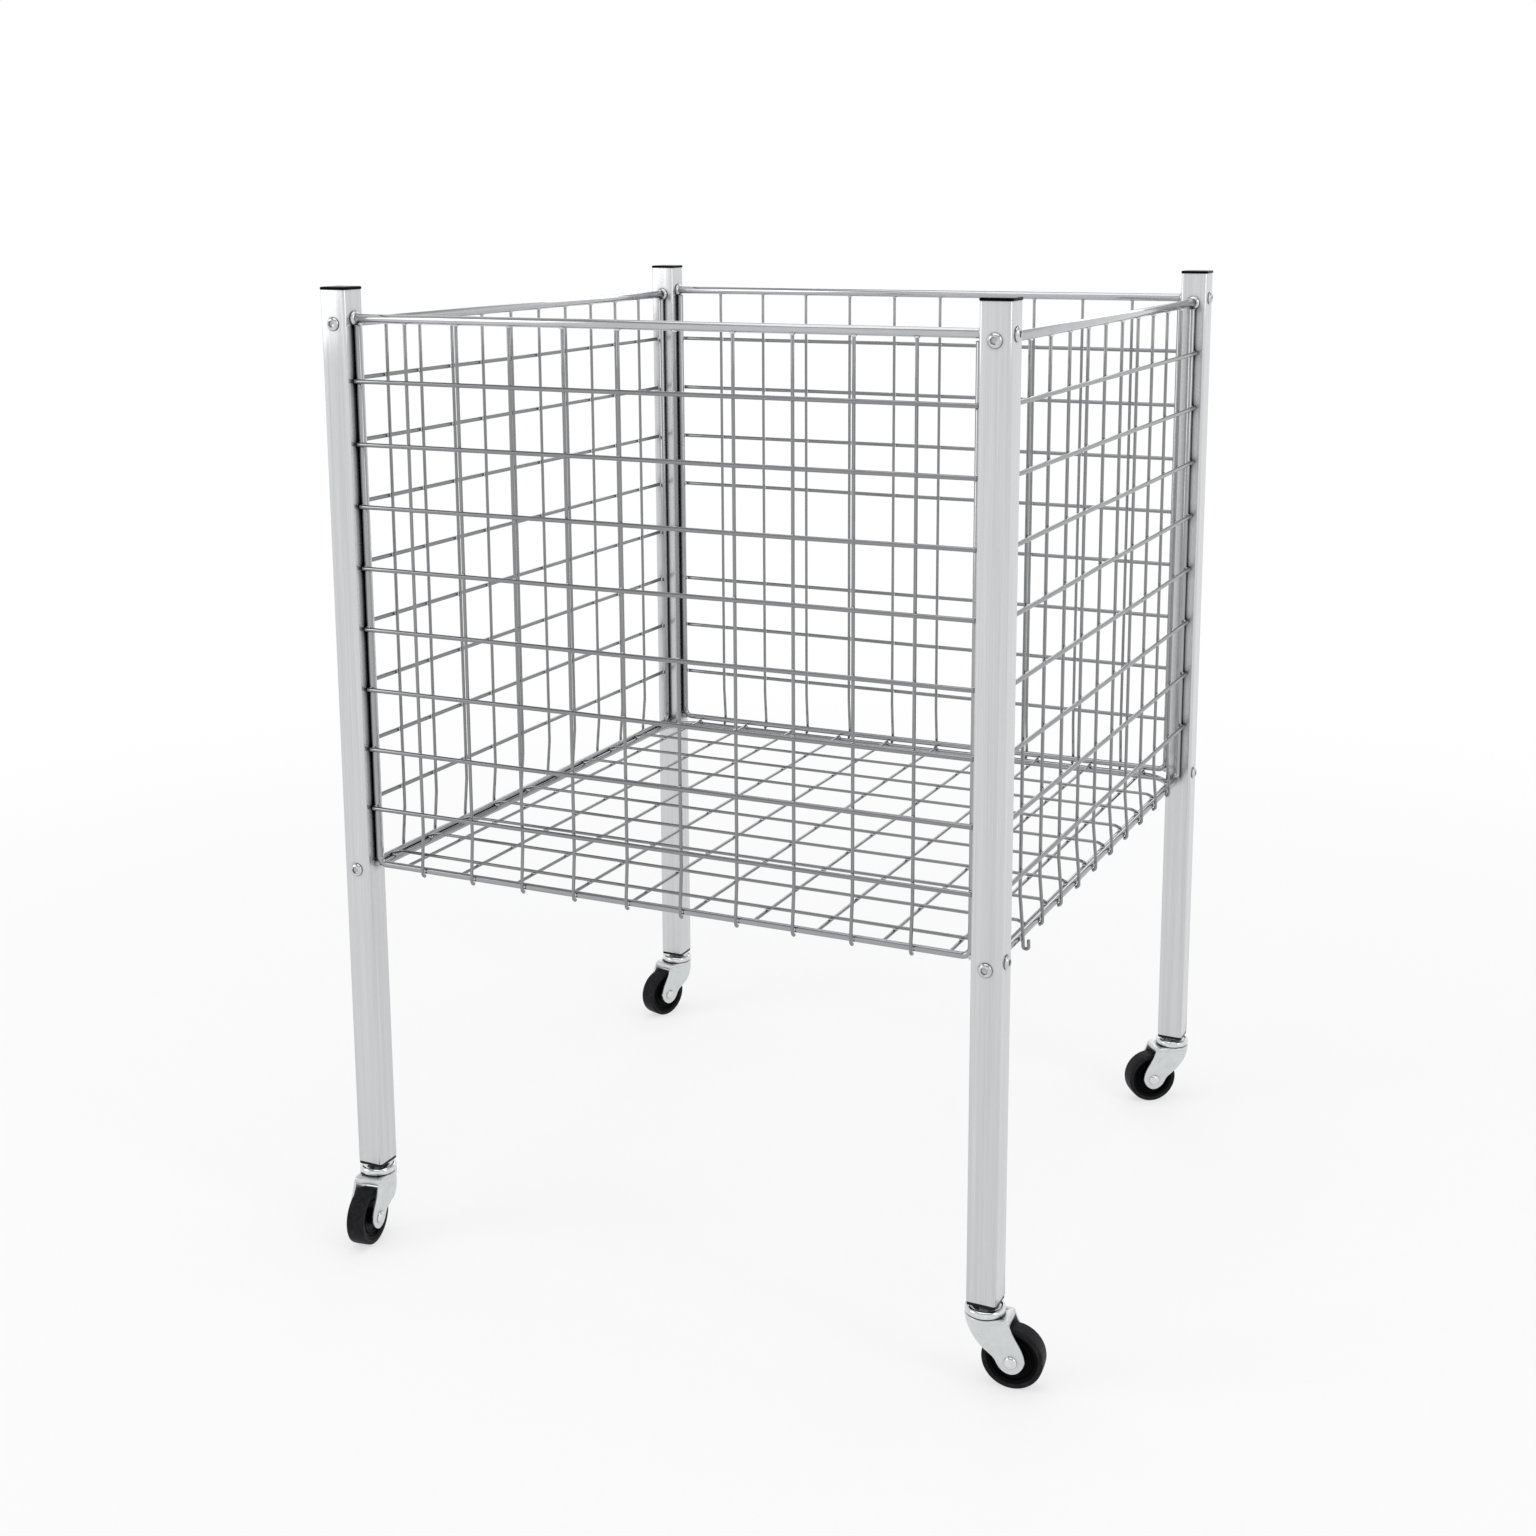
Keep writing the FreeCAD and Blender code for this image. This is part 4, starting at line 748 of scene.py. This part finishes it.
def button_head(bld, m, run, segs=48):
    """Button head with a hexagon socket; its seat is at z 0 and it rises along +Z. Shank below."""
    def circle(r):
        return [(r * math.cos(2 * math.pi * k / segs), r * math.sin(2 * math.pi * k / segs)) for k in range(segs)]

    def hexa(r):
        out = []
        for k in range(segs):
            a = 2 * math.pi * k / segs
            w = (a % (math.pi / 3)) - math.pi / 6
            q = r * math.cos(math.pi / 6) / math.cos(w)
            out.append((q * math.cos(a), q * math.sin(a)))
        return out

    loops = [(circle(1.95), -run), (circle(1.95), -0.02), (circle(5.7), 0.0), (circle(5.93), 0.06), (circle(6.0), 0.28), (circle(5.96), 0.62),
             (circle(5.8), 1.10), (circle(5.45), 1.66), (circle(4.95), 2.16), (circle(4.4), 2.58), (circle(3.95), 2.82),
             (circle(3.6), 2.96), (circle(3.45), 3.0), (hexa(3.3), 2.98), (hexa(3.18), 2.85), (hexa(3.15), 1.3), (hexa(2.6), 1.0)]
    verts, faces, uvs = [], [], []
    for pts, z in loops:
        for x, y in pts:
            verts.append(m @ Vector((x, y, z)))
    n = segs
    for i in range(len(loops) - 1):
        for k in range(n):
            q = (k + 1) % n
            faces.append((i * n + k, i * n + q, (i + 1) * n + q, (i + 1) * n + k))
            uvs.append([(k, i), (q, i), (q, i + 1), (k, i + 1)])
    base = (len(loops) - 1) * n
    verts.append(m @ Vector((0, 0, 0.75)))
    for k in range(n):
        faces.append((base + k, base + (k + 1) % n, len(verts) - 1))
        uvs.append([(k, 0), (k + 1, 0), (k, 1)])
    faces.append(tuple(range(n))[::-1])
    uvs.append([(0, 0)] * n)
    bld.add(verts, faces, uvs)


# ------------------------------------------------------------------ floor mesh
def build_floor_mesh():
    b = Build()
    fx, fy, z = 297.1, 298.5, 357.3
    path = bent([(-fx, -288.9, z), (-fx, fy, z), (fx, fy, z), (fx, -288.9, z)], [36, 36], 18)
    tube(b, path, 3.0, (0, 0, 1), 28)
    fix_normals(finish_mesh("floor_ring", b.v, b.f, M_FRAME, "bin", b.uv, 35, ("floor_frame",)))
    lines = [(i - 4.5) * 58.6 for i in range(10)]
    b = Build()
    for x in lines:
        tube(b, wobble((x, -299.2, 361.8), (x, 299.0, 361.8), 14, 0.35, 0), 1.5, (0, 0, 1), 18, tips=("round", "round"), v0=rnd.uniform(0, 400))
    fix_normals(finish_mesh("floor_lines_deep", b.v, b.f, M_WIRE, "bin", b.uv, 40, ("floor_wires_front_to_back",)))
    b = Build()
    for y in lines:
        path = bent([(-299.1, y, 362.1), (-292.1, y, 364.8), (292.1, y, 364.8), (299.1, y, 362.1)], [6, 6], 8)
        k = max(range(len(path) - 1), key=lambda i: (path[i + 1] - path[i]).length)
        mid = [path[k].lerp(path[k + 1], t / 12) for t in range(1, 12)]
        amp, ph = rnd.uniform(0.1, 0.35), rnd.uniform(0, 6.28)
        for t, p in enumerate(mid, start=1):
            p.y += amp * math.sin(math.pi * t / 12) * math.sin(6 * t / 12 + ph)
        path = path[:k + 1] + mid + path[k + 1:]
        tube(b, path, 1.5, (0, 1, 0), 18, tips=("round", "round"), v0=rnd.uniform(0, 400))
    fix_normals(finish_mesh("floor_lines_across", b.v, b.f, M_WIRE, "bin", b.uv, 40, ("floor_wires_side_to_side",)))
    b = Build()
    X, Y, Z = (1, 0, 0), (0, 1, 0), (0, 0, 1)
    for x in lines:
        for y in lines:
            nugget(b, Vector((x, y, 363.3)), X, Y, Z, (2.0, 2.0, 1.0), 10, 5)
        nugget(b, Vector((x, fy, 360.4)), X, Y, Z, (2.2, 2.6, 1.1))
        nugget(b, Vector((x, -299.3, 362.6)), X, Z, Y, (2.0, 1.9, 1.0))
    for y in lines:
        for s in (-1, 1):
            nugget(b, Vector((s * (fx + 0.4), y, 360.7)), X, Y, Z, (2.6, 2.2, 1.2))
    fix_normals(finish_mesh("floor_welds", b.v, b.f, M_WELD, "bin", b.uv, 60))


# ------------------------------------------------------------------ casters
def dense(poly, step):
    out = []
    for a, b in zip(poly, poly[1:]):
        n = max(1, int(math.hypot(b[0] - a[0], b[1] - a[1]) / step))
        for k in range(n):
            out.append((a[0] + (b[0] - a[0]) * k / n, a[1] + (b[1] - a[1]) * k / n))
    out.append(poly[-1])
    return np.array(out)


def smooth_line(poly, step, sigma):
    """Resampled and gently smoothed polyline; its ends stay put."""
    p = dense(poly, step)
    k = int(3 * sigma / step)
    w = np.exp(-0.5 * (np.arange(-k, k + 1) * step / sigma) ** 2)
    w /= w.sum()
    pad = np.vstack([2 * p[0] - p[k:0:-1], p, 2 * p[-1] - p[-2:-k - 2:-1]])
    return np.array([(pad[i:i + 2 * k + 1] * w[:, None]).sum(0) for i in range(len(p))])


LOW = [(-16.7, 56.8), (-14.2, 55.4), (-11.0, 51.2), (-7.0, 46.5), (-3.0, 42.2), (1.2, 38.0), (5.4, 33.9), (9.4, 29.4), (11.6, 26.0),
       (13.2, 22.8), (15.2, 19.9), (17.8, 17.6), (21.2, 15.9), (25.0, 15.4), (28.8, 16.4), (32.0, 18.9), (34.6, 22.6), (35.8, 26.4)]
HIGH = [(22.6, 57.9), (22.9, 56.8), (23.6, 55.0), (25.0, 51.6), (26.9, 48.0), (29.0, 44.5), (31.0, 41.2), (33.0, 37.4), (34.6, 33.4),
        (35.6, 29.8), (35.8, 26.4)]


def fork_mesh():
    """One pressed fork about its swivel axis, trailing along +X: its two legs."""
    R, F = 16.6, 13.3
    xc = math.sqrt(R * R - F * F)
    a = math.atan2(F, xc)
    plan = [(-R * math.cos(t), R * math.sin(t)) for t in np.linspace(0, math.pi - a, 60)] + [(x, F) for x in np.linspace(xc + 0.5, 37.5, 60)]
    P = smooth_line(plan, 0.2, 0.9)
    P[:, 1] = np.maximum(P[:, 1], 0)
    low = smooth_line(LOW, 0.15, 0.8)
    high = smooth_line(HIGH, 0.15, 0.6)
    lowz = lambda e: float(np.interp(e, low[:, 0], low[:, 1]))
    highz = lambda e: 58.2 if e <= 22.6 else float(np.interp(e, high[:, 0], high[:, 1]))
    edge = np.vstack([low, high[::-1]])

    def edge_dist(e, z):
        return float(np.sqrt(((edge - (e, z)) ** 2).sum(1)).min())

    tip = 35.8
    es = list(-16.6 + 33.0 * (np.linspace(0, 1, 34) ** 1.0)) + list(np.linspace(16.9, 26, 22)) + \
        [26 + (tip - 26) * math.sin(math.pi / 2 * k / 22) for k in range(1, 23)]
    xs = P[:, 0]
    rows = 44
    grid = []
    for e in es:
        y = float(np.interp(e, xs, P[:, 1]))
        i = min(max(int(np.searchsorted(xs, e)), 3), len(P) - 4)
        tx, ty = P[i + 3] - P[i - 3]
        n = Vector((-ty, tx, 0)).normalized()
        zl, zh = lowz(e), highz(e)
        col = []
        for r in range(rows + 1):
            t = r / rows
            t = 0.5 - 0.5 * math.cos(math.pi * t)          # finer near both edges
            z = zl + (zh - zl) * t
            d = edge_dist(e, z)
            ax = math.hypot(e - 24.5, z - 26.0)
            lobe = min(1.0, max(0.0, (44.0 - z) / 10.0)) if e > 4 else 0.0
            h = 0.42 * lobe * (min(1.0, max(0.0, (d - 2.5) / 0.9)) ** 2 * (3 - 2 * min(1.0, max(0.0, (d - 2.5) / 0.9))) - 1.0)
            h -= 0.40 * math.exp(-((ax - 6.1) / 0.45) ** 2)
            col.append(Vector((e, y, z)) + n * h)
        grid.append(col)
    verts, faces = [], []
    for side in (1, -1):
        base = len(verts)
        for col in grid:
            for p in col:
                verts.append(Vector((p.x, p.y * side, p.z)))
        for i in range(len(grid) - 1):
            for r in range(rows):
                q = (base + i * (rows + 1) + r, base + (i + 1) * (rows + 1) + r, base + (i + 1) * (rows + 1) + r + 1, base + i * (rows + 1) + r + 1)
                faces.append(q if side < 0 else q[::-1])
    return verts, faces


def crown_mesh():
    """Crown: closed plan outline with a rolled rim; its skirt is a little deeper at the trailing end."""
    R, F, T, c = 17.1, 13.8, 23.0, 3.4
    xc = math.sqrt(R * R - F * F)
    a = math.atan2(F, xc)
    pts = [(-R * math.cos(t), R * math.sin(t)) for t in np.linspace(0, math.pi - a, 50)]
    pts += [(x, F) for x in np.linspace(xc + 0.5, T - c, 14)]
    pts += [(T - c + c * math.sin(t), F - c + c * math.cos(t)) for t in np.linspace(0.1, math.pi / 2, 12)]
    pts += [(T, y) for y in np.linspace(F - c - 0.8, 0, 12)]
    half = smooth_line(pts, 0.25, 0.7)
    half[0, 1] = half[-1, 1] = 0.0
    n = 150
    ln = np.concatenate([[0], np.cumsum(np.sqrt((np.diff(half, axis=0) ** 2).sum(1)))])
    s = np.linspace(0, ln[-1], n + 1)
    hx, hy = np.interp(s, ln, half[:, 0]), np.interp(s, ln, half[:, 1])
    outline = [(hx[i], hy[i]) for i in range(n + 1)] + [(hx[i], -hy[i]) for i in range(n - 1, 0, -1)]
    m = len(outline)
    nrm = []
    for i in range(m):
        p, q = outline[i - 1], outline[(i + 1) % m]
        v = Vector((q[1] - p[1], -(q[0] - p[0]), 0)).normalized()
        nrm.append(-v if v.dot(Vector((outline[i][0] - 3, outline[i][1], 0))) < 0 else v)
    # profile: (inward offset, height) from the outer lower edge, over the top, to the inner lower edge
    def section(x):
        t = min(1.0, max(0.0, (x - 18.5) / 3.5))
        t = t * t * (3 - 2 * t)
        foot = 57.7 - 1.7 * t
        return [(1.9, foot + 0.35), (1.55, foot + 0.06), (1.0, foot), (0.45, foot + 0.04), (0.12, foot + 0.28), (0.0, foot + 0.75), (0.0, 59.5), (0.10, 60.1), (0.42, 60.65),
                (0.95, 61.02), (1.6, 61.18), (2.4, 61.2), (4.2, 60.95), (5.2, 60.9)]
    verts, faces = [], []
    rows = len(section(0))
    for i, (x, y) in enumerate(outline):
        for d, z in section(x):
            verts.append(Vector((x, y, z)) - nrm[i] * d)
    for i in range(m):
        j = (i + 1) % m
        for r in range(rows - 1):
            faces.append((i * rows + r, j * rows + r, j * rows + r + 1, i * rows + r + 1))
    # inner skin of the skirt, and the flat top and ceiling as one closed shell
    base = len(verts)
    for i, (x, y) in enumerate(outline):
        foot = section(x)[0][1]
        for d, z in ((1.95, foot + 0.9), (1.95, 58.3), (2.3, 58.8), (3.2, 59.0)):
            verts.append(Vector((x, y, z)) - nrm[i] * d)
    for i in range(m):
        j = (i + 1) % m
        faces.append((i * rows, base + i * 4, base + j * 4, j * rows))
        for r in range(3):
            faces.append((base + i * 4 + r, base + i * 4 + r + 1, base + j * 4 + r + 1, base + j * 4 + r))
    top = len(verts)
    verts += [Vector((0, 0, 60.9)), Vector((0, 0, 59.0))]
    for i in range(m):
        j = (i + 1) % m
        faces.append((i * rows + rows - 1, j * rows + rows - 1, top))
        faces.append((base + j * 4 + 3, base + i * 4 + 3, top + 1))
    return verts, faces


def rivet(bld, m, phase):
    """Domed axle head with a dished middle and four staking marks."""
    segs, prof = 48, []
    for k in range(15):
        t = k / 14
        r = 5.6 * t
        z = 3.0 * (1 - t ** 2.6) ** 0.62 if t < 1 else 0.0
        prof.append((r, z))
    verts, faces, uvs = [m @ Vector((0, 0, 0))], [], []
    verts = []
    rows = []
    for i, (r, z) in enumerate(prof):
        ring = []
        for k in range(1 if i == 0 else segs):
            a = 2 * math.pi * k / segs + phase
            d = -0.55 * math.exp(-(r / 1.0) ** 2)
            for q in range(4):
                px, py = 2.5 * math.cos(q * math.pi / 2 + 0.5), 2.5 * math.sin(q * math.pi / 2 + 0.5)
                dd = (r * math.cos(a) - px) ** 2 + (r * math.sin(a) - py) ** 2
                d -= 0.42 * math.exp(-dd / 0.45)
            ring.append(len(verts))
            verts.append(m @ Vector((r * math.cos(a), r * math.sin(a), z + d)))
        rows.append(ring)
    for k in range(segs):
        faces.append((rows[0][0], rows[1][k], rows[1][(k + 1) % segs]))
        uvs.append([(0, 0), (k, 1), (k + 1, 1)])
    for i in range(1, len(rows) - 1):
        for k in range(segs):
            q = (k + 1) % segs
            faces.append((rows[i][k], rows[i + 1][k], rows[i + 1][q], rows[i][q]))
            uvs.append([(k, i), (k, i + 1), (k + 1, i + 1), (k + 1, i)])
    low = []
    for k in range(segs):
        a = 2 * math.pi * k / segs + phase
        low.append(len(verts))
        verts.append(m @ Vector((5.6 * math.cos(a), 5.6 * math.sin(a), -0.6)))
    for k in range(segs):
        q = (k + 1) % segs
        faces.append((rows[-1][k], low[k], low[q], rows[-1][q]))
        uvs.append([(k, 0), (k, 1), (k + 1, 1), (k + 1, 0)])
    faces.append(tuple(low[::-1]))
    uvs.append([(0, 0)] * segs)
    bld.add(verts, faces, uvs)


def mirror_profile(half):
    return half + [(r, -z) for r, z in reversed(half)]


def build_casters():
    leg_v, leg_f = fork_mesh()
    crown_v, crown_f = crown_mesh()
    for key, (sx, sy, head) in CORNERS.items():
        place = Matrix.Translation((sx * HX, sy * HY, 0)) @ Matrix.Rotation(math.radians(head), 4, "Z")
        pre = "caster_" + key
        fork, wheel = "fork_" + key, "wheel_" + key
        # legs: two sheets given their thickness
        o = finish_mesh("legs_" + key, [place @ v for v in leg_v], leg_f, M_SHEET, fork, None, 60, (pre + "_fork",))
        weld_doubles(o, 2e-5)
        so = o.modifiers.new("thickness", "SOLIDIFY")
        so.thickness = 0.0021
        so.offset = -1.0
        so.use_even_offset = False
        o = finish_mesh("crown_" + key, [place @ v for v in crown_v], crown_f, M_SHEET, fork, None, 60, ())
        fix_normals(o)
        # bearing cup
        b = Build()
        cup = [(4.05, 64.7), (14.9, 64.7), (14.9, 62.1), (15.1, 61.86), (15.9, 61.8), (16.5, 61.9), (16.9, 62.25), (17.1, 62.9), (17.15, 64.4),
               (17.1, 65.2), (16.9, 65.95), (16.5, 66.65), (15.95, 67.2), (15.3, 67.6), (14.6, 67.78), (13.9, 67.7), (13.2, 67.4),
               (12.5, 66.88), (11.9, 66.4), (11.3, 66.1), (10.5, 66.0), (4.05, 66.0)]
        lathe(b, cup, 72, place)
        fix_normals(finish_mesh("cup_" + key, b.v, b.f, M_CHROME, "bin", b.uv, 40, (pre + "_bearing_cup",)))
        # axle heads
        b = Build()
        turn = place @ Matrix.Translation((24.5, -13.3, 26.0)) @ Matrix.Rotation(math.radians(90), 4, "X")
        rivet(b, turn, rnd.uniform(0, 3))
        lathe(b, [(0, -13.9), (3.0, -13.9), (3.0, 13.9), (0, 13.9)], 24, place @ Matrix.Translation((24.5, 0, 26.0)) @ Matrix.Rotation(math.radians(90), 4, "X"), closed=False)
        fix_normals(finish_mesh("axle_" + key, b.v, b.f, M_CHROME, fork, b.uv, 40, (pre + "_axle_bolt",)))
        b = Build()
        turn = place @ Matrix.Translation((24.5, 13.3, 26.0)) @ Matrix.Rotation(math.radians(-90), 4, "X")
        rivet(b, turn, rnd.uniform(0, 3))
        fix_normals(finish_mesh("axle_head_" + key, b.v, b.f, M_CHROME, fork, b.uv, 40, (pre + "_axle_nut",)))
        # wheel and tyre
        axle = place @ Matrix.Translation((24.5, 0, 26.0)) @ Matrix.Rotation(math.radians(90), 4, "X")
        b = Build()
        half = [(3.08, 10.6), (3.4, 10.9), (6.0, 10.9), (6.4, 10.75), (6.6, 10.4), (6.8, 7.2), (7.3, 5.4), (8.2, 4.8), (9.6, 4.6), (12.6, 4.6), (13.2, 4.75), (13.6, 5.2),
                (13.9, 5.6), (14.6, 5.7), (15.2, 5.55), (15.6, 5.0), (16.0, 4.75), (17.2, 4.9), (17.8, 5.4), (18.3, 6.4), (18.7, 7.1), (19.3, 7.5), (20.2, 7.65), (21.0, 7.75), (21.6, 7.7)]
        lathe(b, mirror_profile(half), 96, axle)
        fix_normals(finish_mesh("wheel_disc_" + key, b.v, b.f, M_WHEEL, wheel, b.uv, 35, (pre + "_wheel",)))
        b = Build()
        half = [(21.6, 7.9), (22.0, 8.15), (22.6, 8.42), (23.4, 8.5), (24.6, 8.5), (25.0, 8.42), (25.35, 8.2), (25.6, 7.9), (25.75, 7.4),
                (25.84, 6.6), (25.92, 5.4), (25.97, 3.6), (26.0, 1.5)]
        lathe(b, mirror_profile(half), 128, axle)
        fix_normals(finish_mesh("tyre_ring_" + key, b.v, b.f, M_TYRE, wheel, b.uv, 35, (pre + "_tyre",)))


build_posts()
build_caps()
build_panels()
build_collars_and_screws()
build_floor_mesh()
build_casters()

# CAD nodes that stay as they are get their finishes
FINISH = {"_stem": M_STEM, "post_foot_plugs": M_PLUG, "caster_bearing_balls": M_STEEL, "frame_corner_bosses": M_WELD}
for name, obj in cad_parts.items():
    for part, mat in FINISH.items():
        if name.endswith(part):
            for s in obj.material_slots:
                s.material = mat


# ------------------------------------------------------------------ studio
# A plain pale floor and a plain white room, the same for every ray.
def make_stage():
    me = bpy.data.meshes.new("studio_floor")
    bm = bmesh.new()
    bmesh.ops.create_circle(bm, cap_ends=True, segments=96, radius=40.0)
    bm.to_mesh(me)
    bm.free()
    m = bpy.data.materials.new("studio_floor")
    m.use_nodes = True
    t = m.node_tree
    t.nodes.clear()
    out = t.nodes.new("ShaderNodeOutputMaterial")
    diff = t.nodes.new("ShaderNodeBsdfDiffuse")
    diff.inputs["Color"].default_value = (0.94, 0.94, 0.945, 1)
    emit = t.nodes.new("ShaderNodeEmission")
    emit.inputs["Color"].default_value = (1, 1, 1, 1)
    emit.inputs["Strength"].default_value = 1.0
    tc = t.nodes.new("ShaderNodeTexCoord")
    ln = t.nodes.new("ShaderNodeVectorMath")
    ln.operation = "LENGTH"
    t.links.new(tc.outputs["Object"], ln.inputs[0])
    far = t.nodes.new("ShaderNodeMapRange")
    far.interpolation_type = "SMOOTHSTEP"
    far.inputs["From Min"].default_value = 0.7
    far.inputs["From Max"].default_value = 2.2
    far.inputs["To Min"].default_value = 0.62
    t.links.new(ln.outputs["Value"], far.inputs["Value"])
    mix = t.nodes.new("ShaderNodeMixShader")
    t.links.new(far.outputs["Result"], mix.inputs[0])
    t.links.new(diff.outputs[0], mix.inputs[1])
    t.links.new(emit.outputs[0], mix.inputs[2])
    t.links.new(mix.outputs[0], out.inputs[0])
    me.materials.append(m)
    floor = bpy.data.objects.new("studio_floor", me)
    scene.collection.objects.link(floor)


def make_world():
    w = bpy.data.worlds.new("studio")
    scene.world = w
    w.use_nodes = True
    t = w.node_tree
    t.nodes.clear()
    out = t.nodes.new("ShaderNodeOutputWorld")
    bg = t.nodes.new("ShaderNodeBackground")
    tc = t.nodes.new("ShaderNodeTexCoord")
    sep = t.nodes.new("ShaderNodeSeparateXYZ")
    t.links.new(tc.outputs["Generated"], sep.inputs[0])
    # white walls and a dimmer ceiling
    up = t.nodes.new("ShaderNodeMapRange")
    up.interpolation_type = "SMOOTHSTEP"
    up.inputs["From Min"].default_value = 0.34
    up.inputs["From Max"].default_value = 0.85
    t.links.new(sep.outputs["Z"], up.inputs["Value"])
    room = t.nodes.new("ShaderNodeMix")
    room.data_type = "RGBA"
    t.links.new(up.outputs["Result"], room.inputs["Factor"])
    room.inputs[6].default_value = (1, 1, 1, 1)
    room.inputs[7].default_value = (0.45, 0.45, 0.455, 1)
    t.links.new(room.outputs[2], bg.inputs["Color"])
    bg.inputs["Strength"].default_value = 1.0
    t.links.new(bg.outputs[0], out.inputs[0])


def area(name, loc, target, size, power, colour=(1, 1, 1)):
    li = bpy.data.lights.new(name, "AREA")
    li.shape = "RECTANGLE"
    li.size, li.size_y = size
    li.energy = power
    li.color = colour
    o = bpy.data.objects.new(name, li)
    scene.collection.objects.link(o)
    o.location = loc
    d = Vector(target) - Vector(loc)
    o.rotation_euler = d.to_track_quat("-Z", "Y").to_euler()
    o.visible_camera = False
    return o


make_stage()
make_world()
area("softbox_top", (0.1, -0.2, 2.7), (0, 0, 0.4), (2.2, 2.2), 20.0)
area("softbox_left", (-2.3, -1.9, 1.7), (0, 0, 0.5), (1.2, 1.6), 12.0)
area("softbox_right", (2.6, -0.6, 1.9), (0, 0, 0.5), (1.0, 1.6), 9.0)
area("softbox_back", (-0.6, 2.8, 1.8), (0, 0, 0.5), (2.0, 1.0), 8.0)

scene.view_settings.view_transform = "Standard"
scene.view_settings.look = "None"
scene.view_settings.exposure = 0.0
scene.view_settings.gamma = 1.0
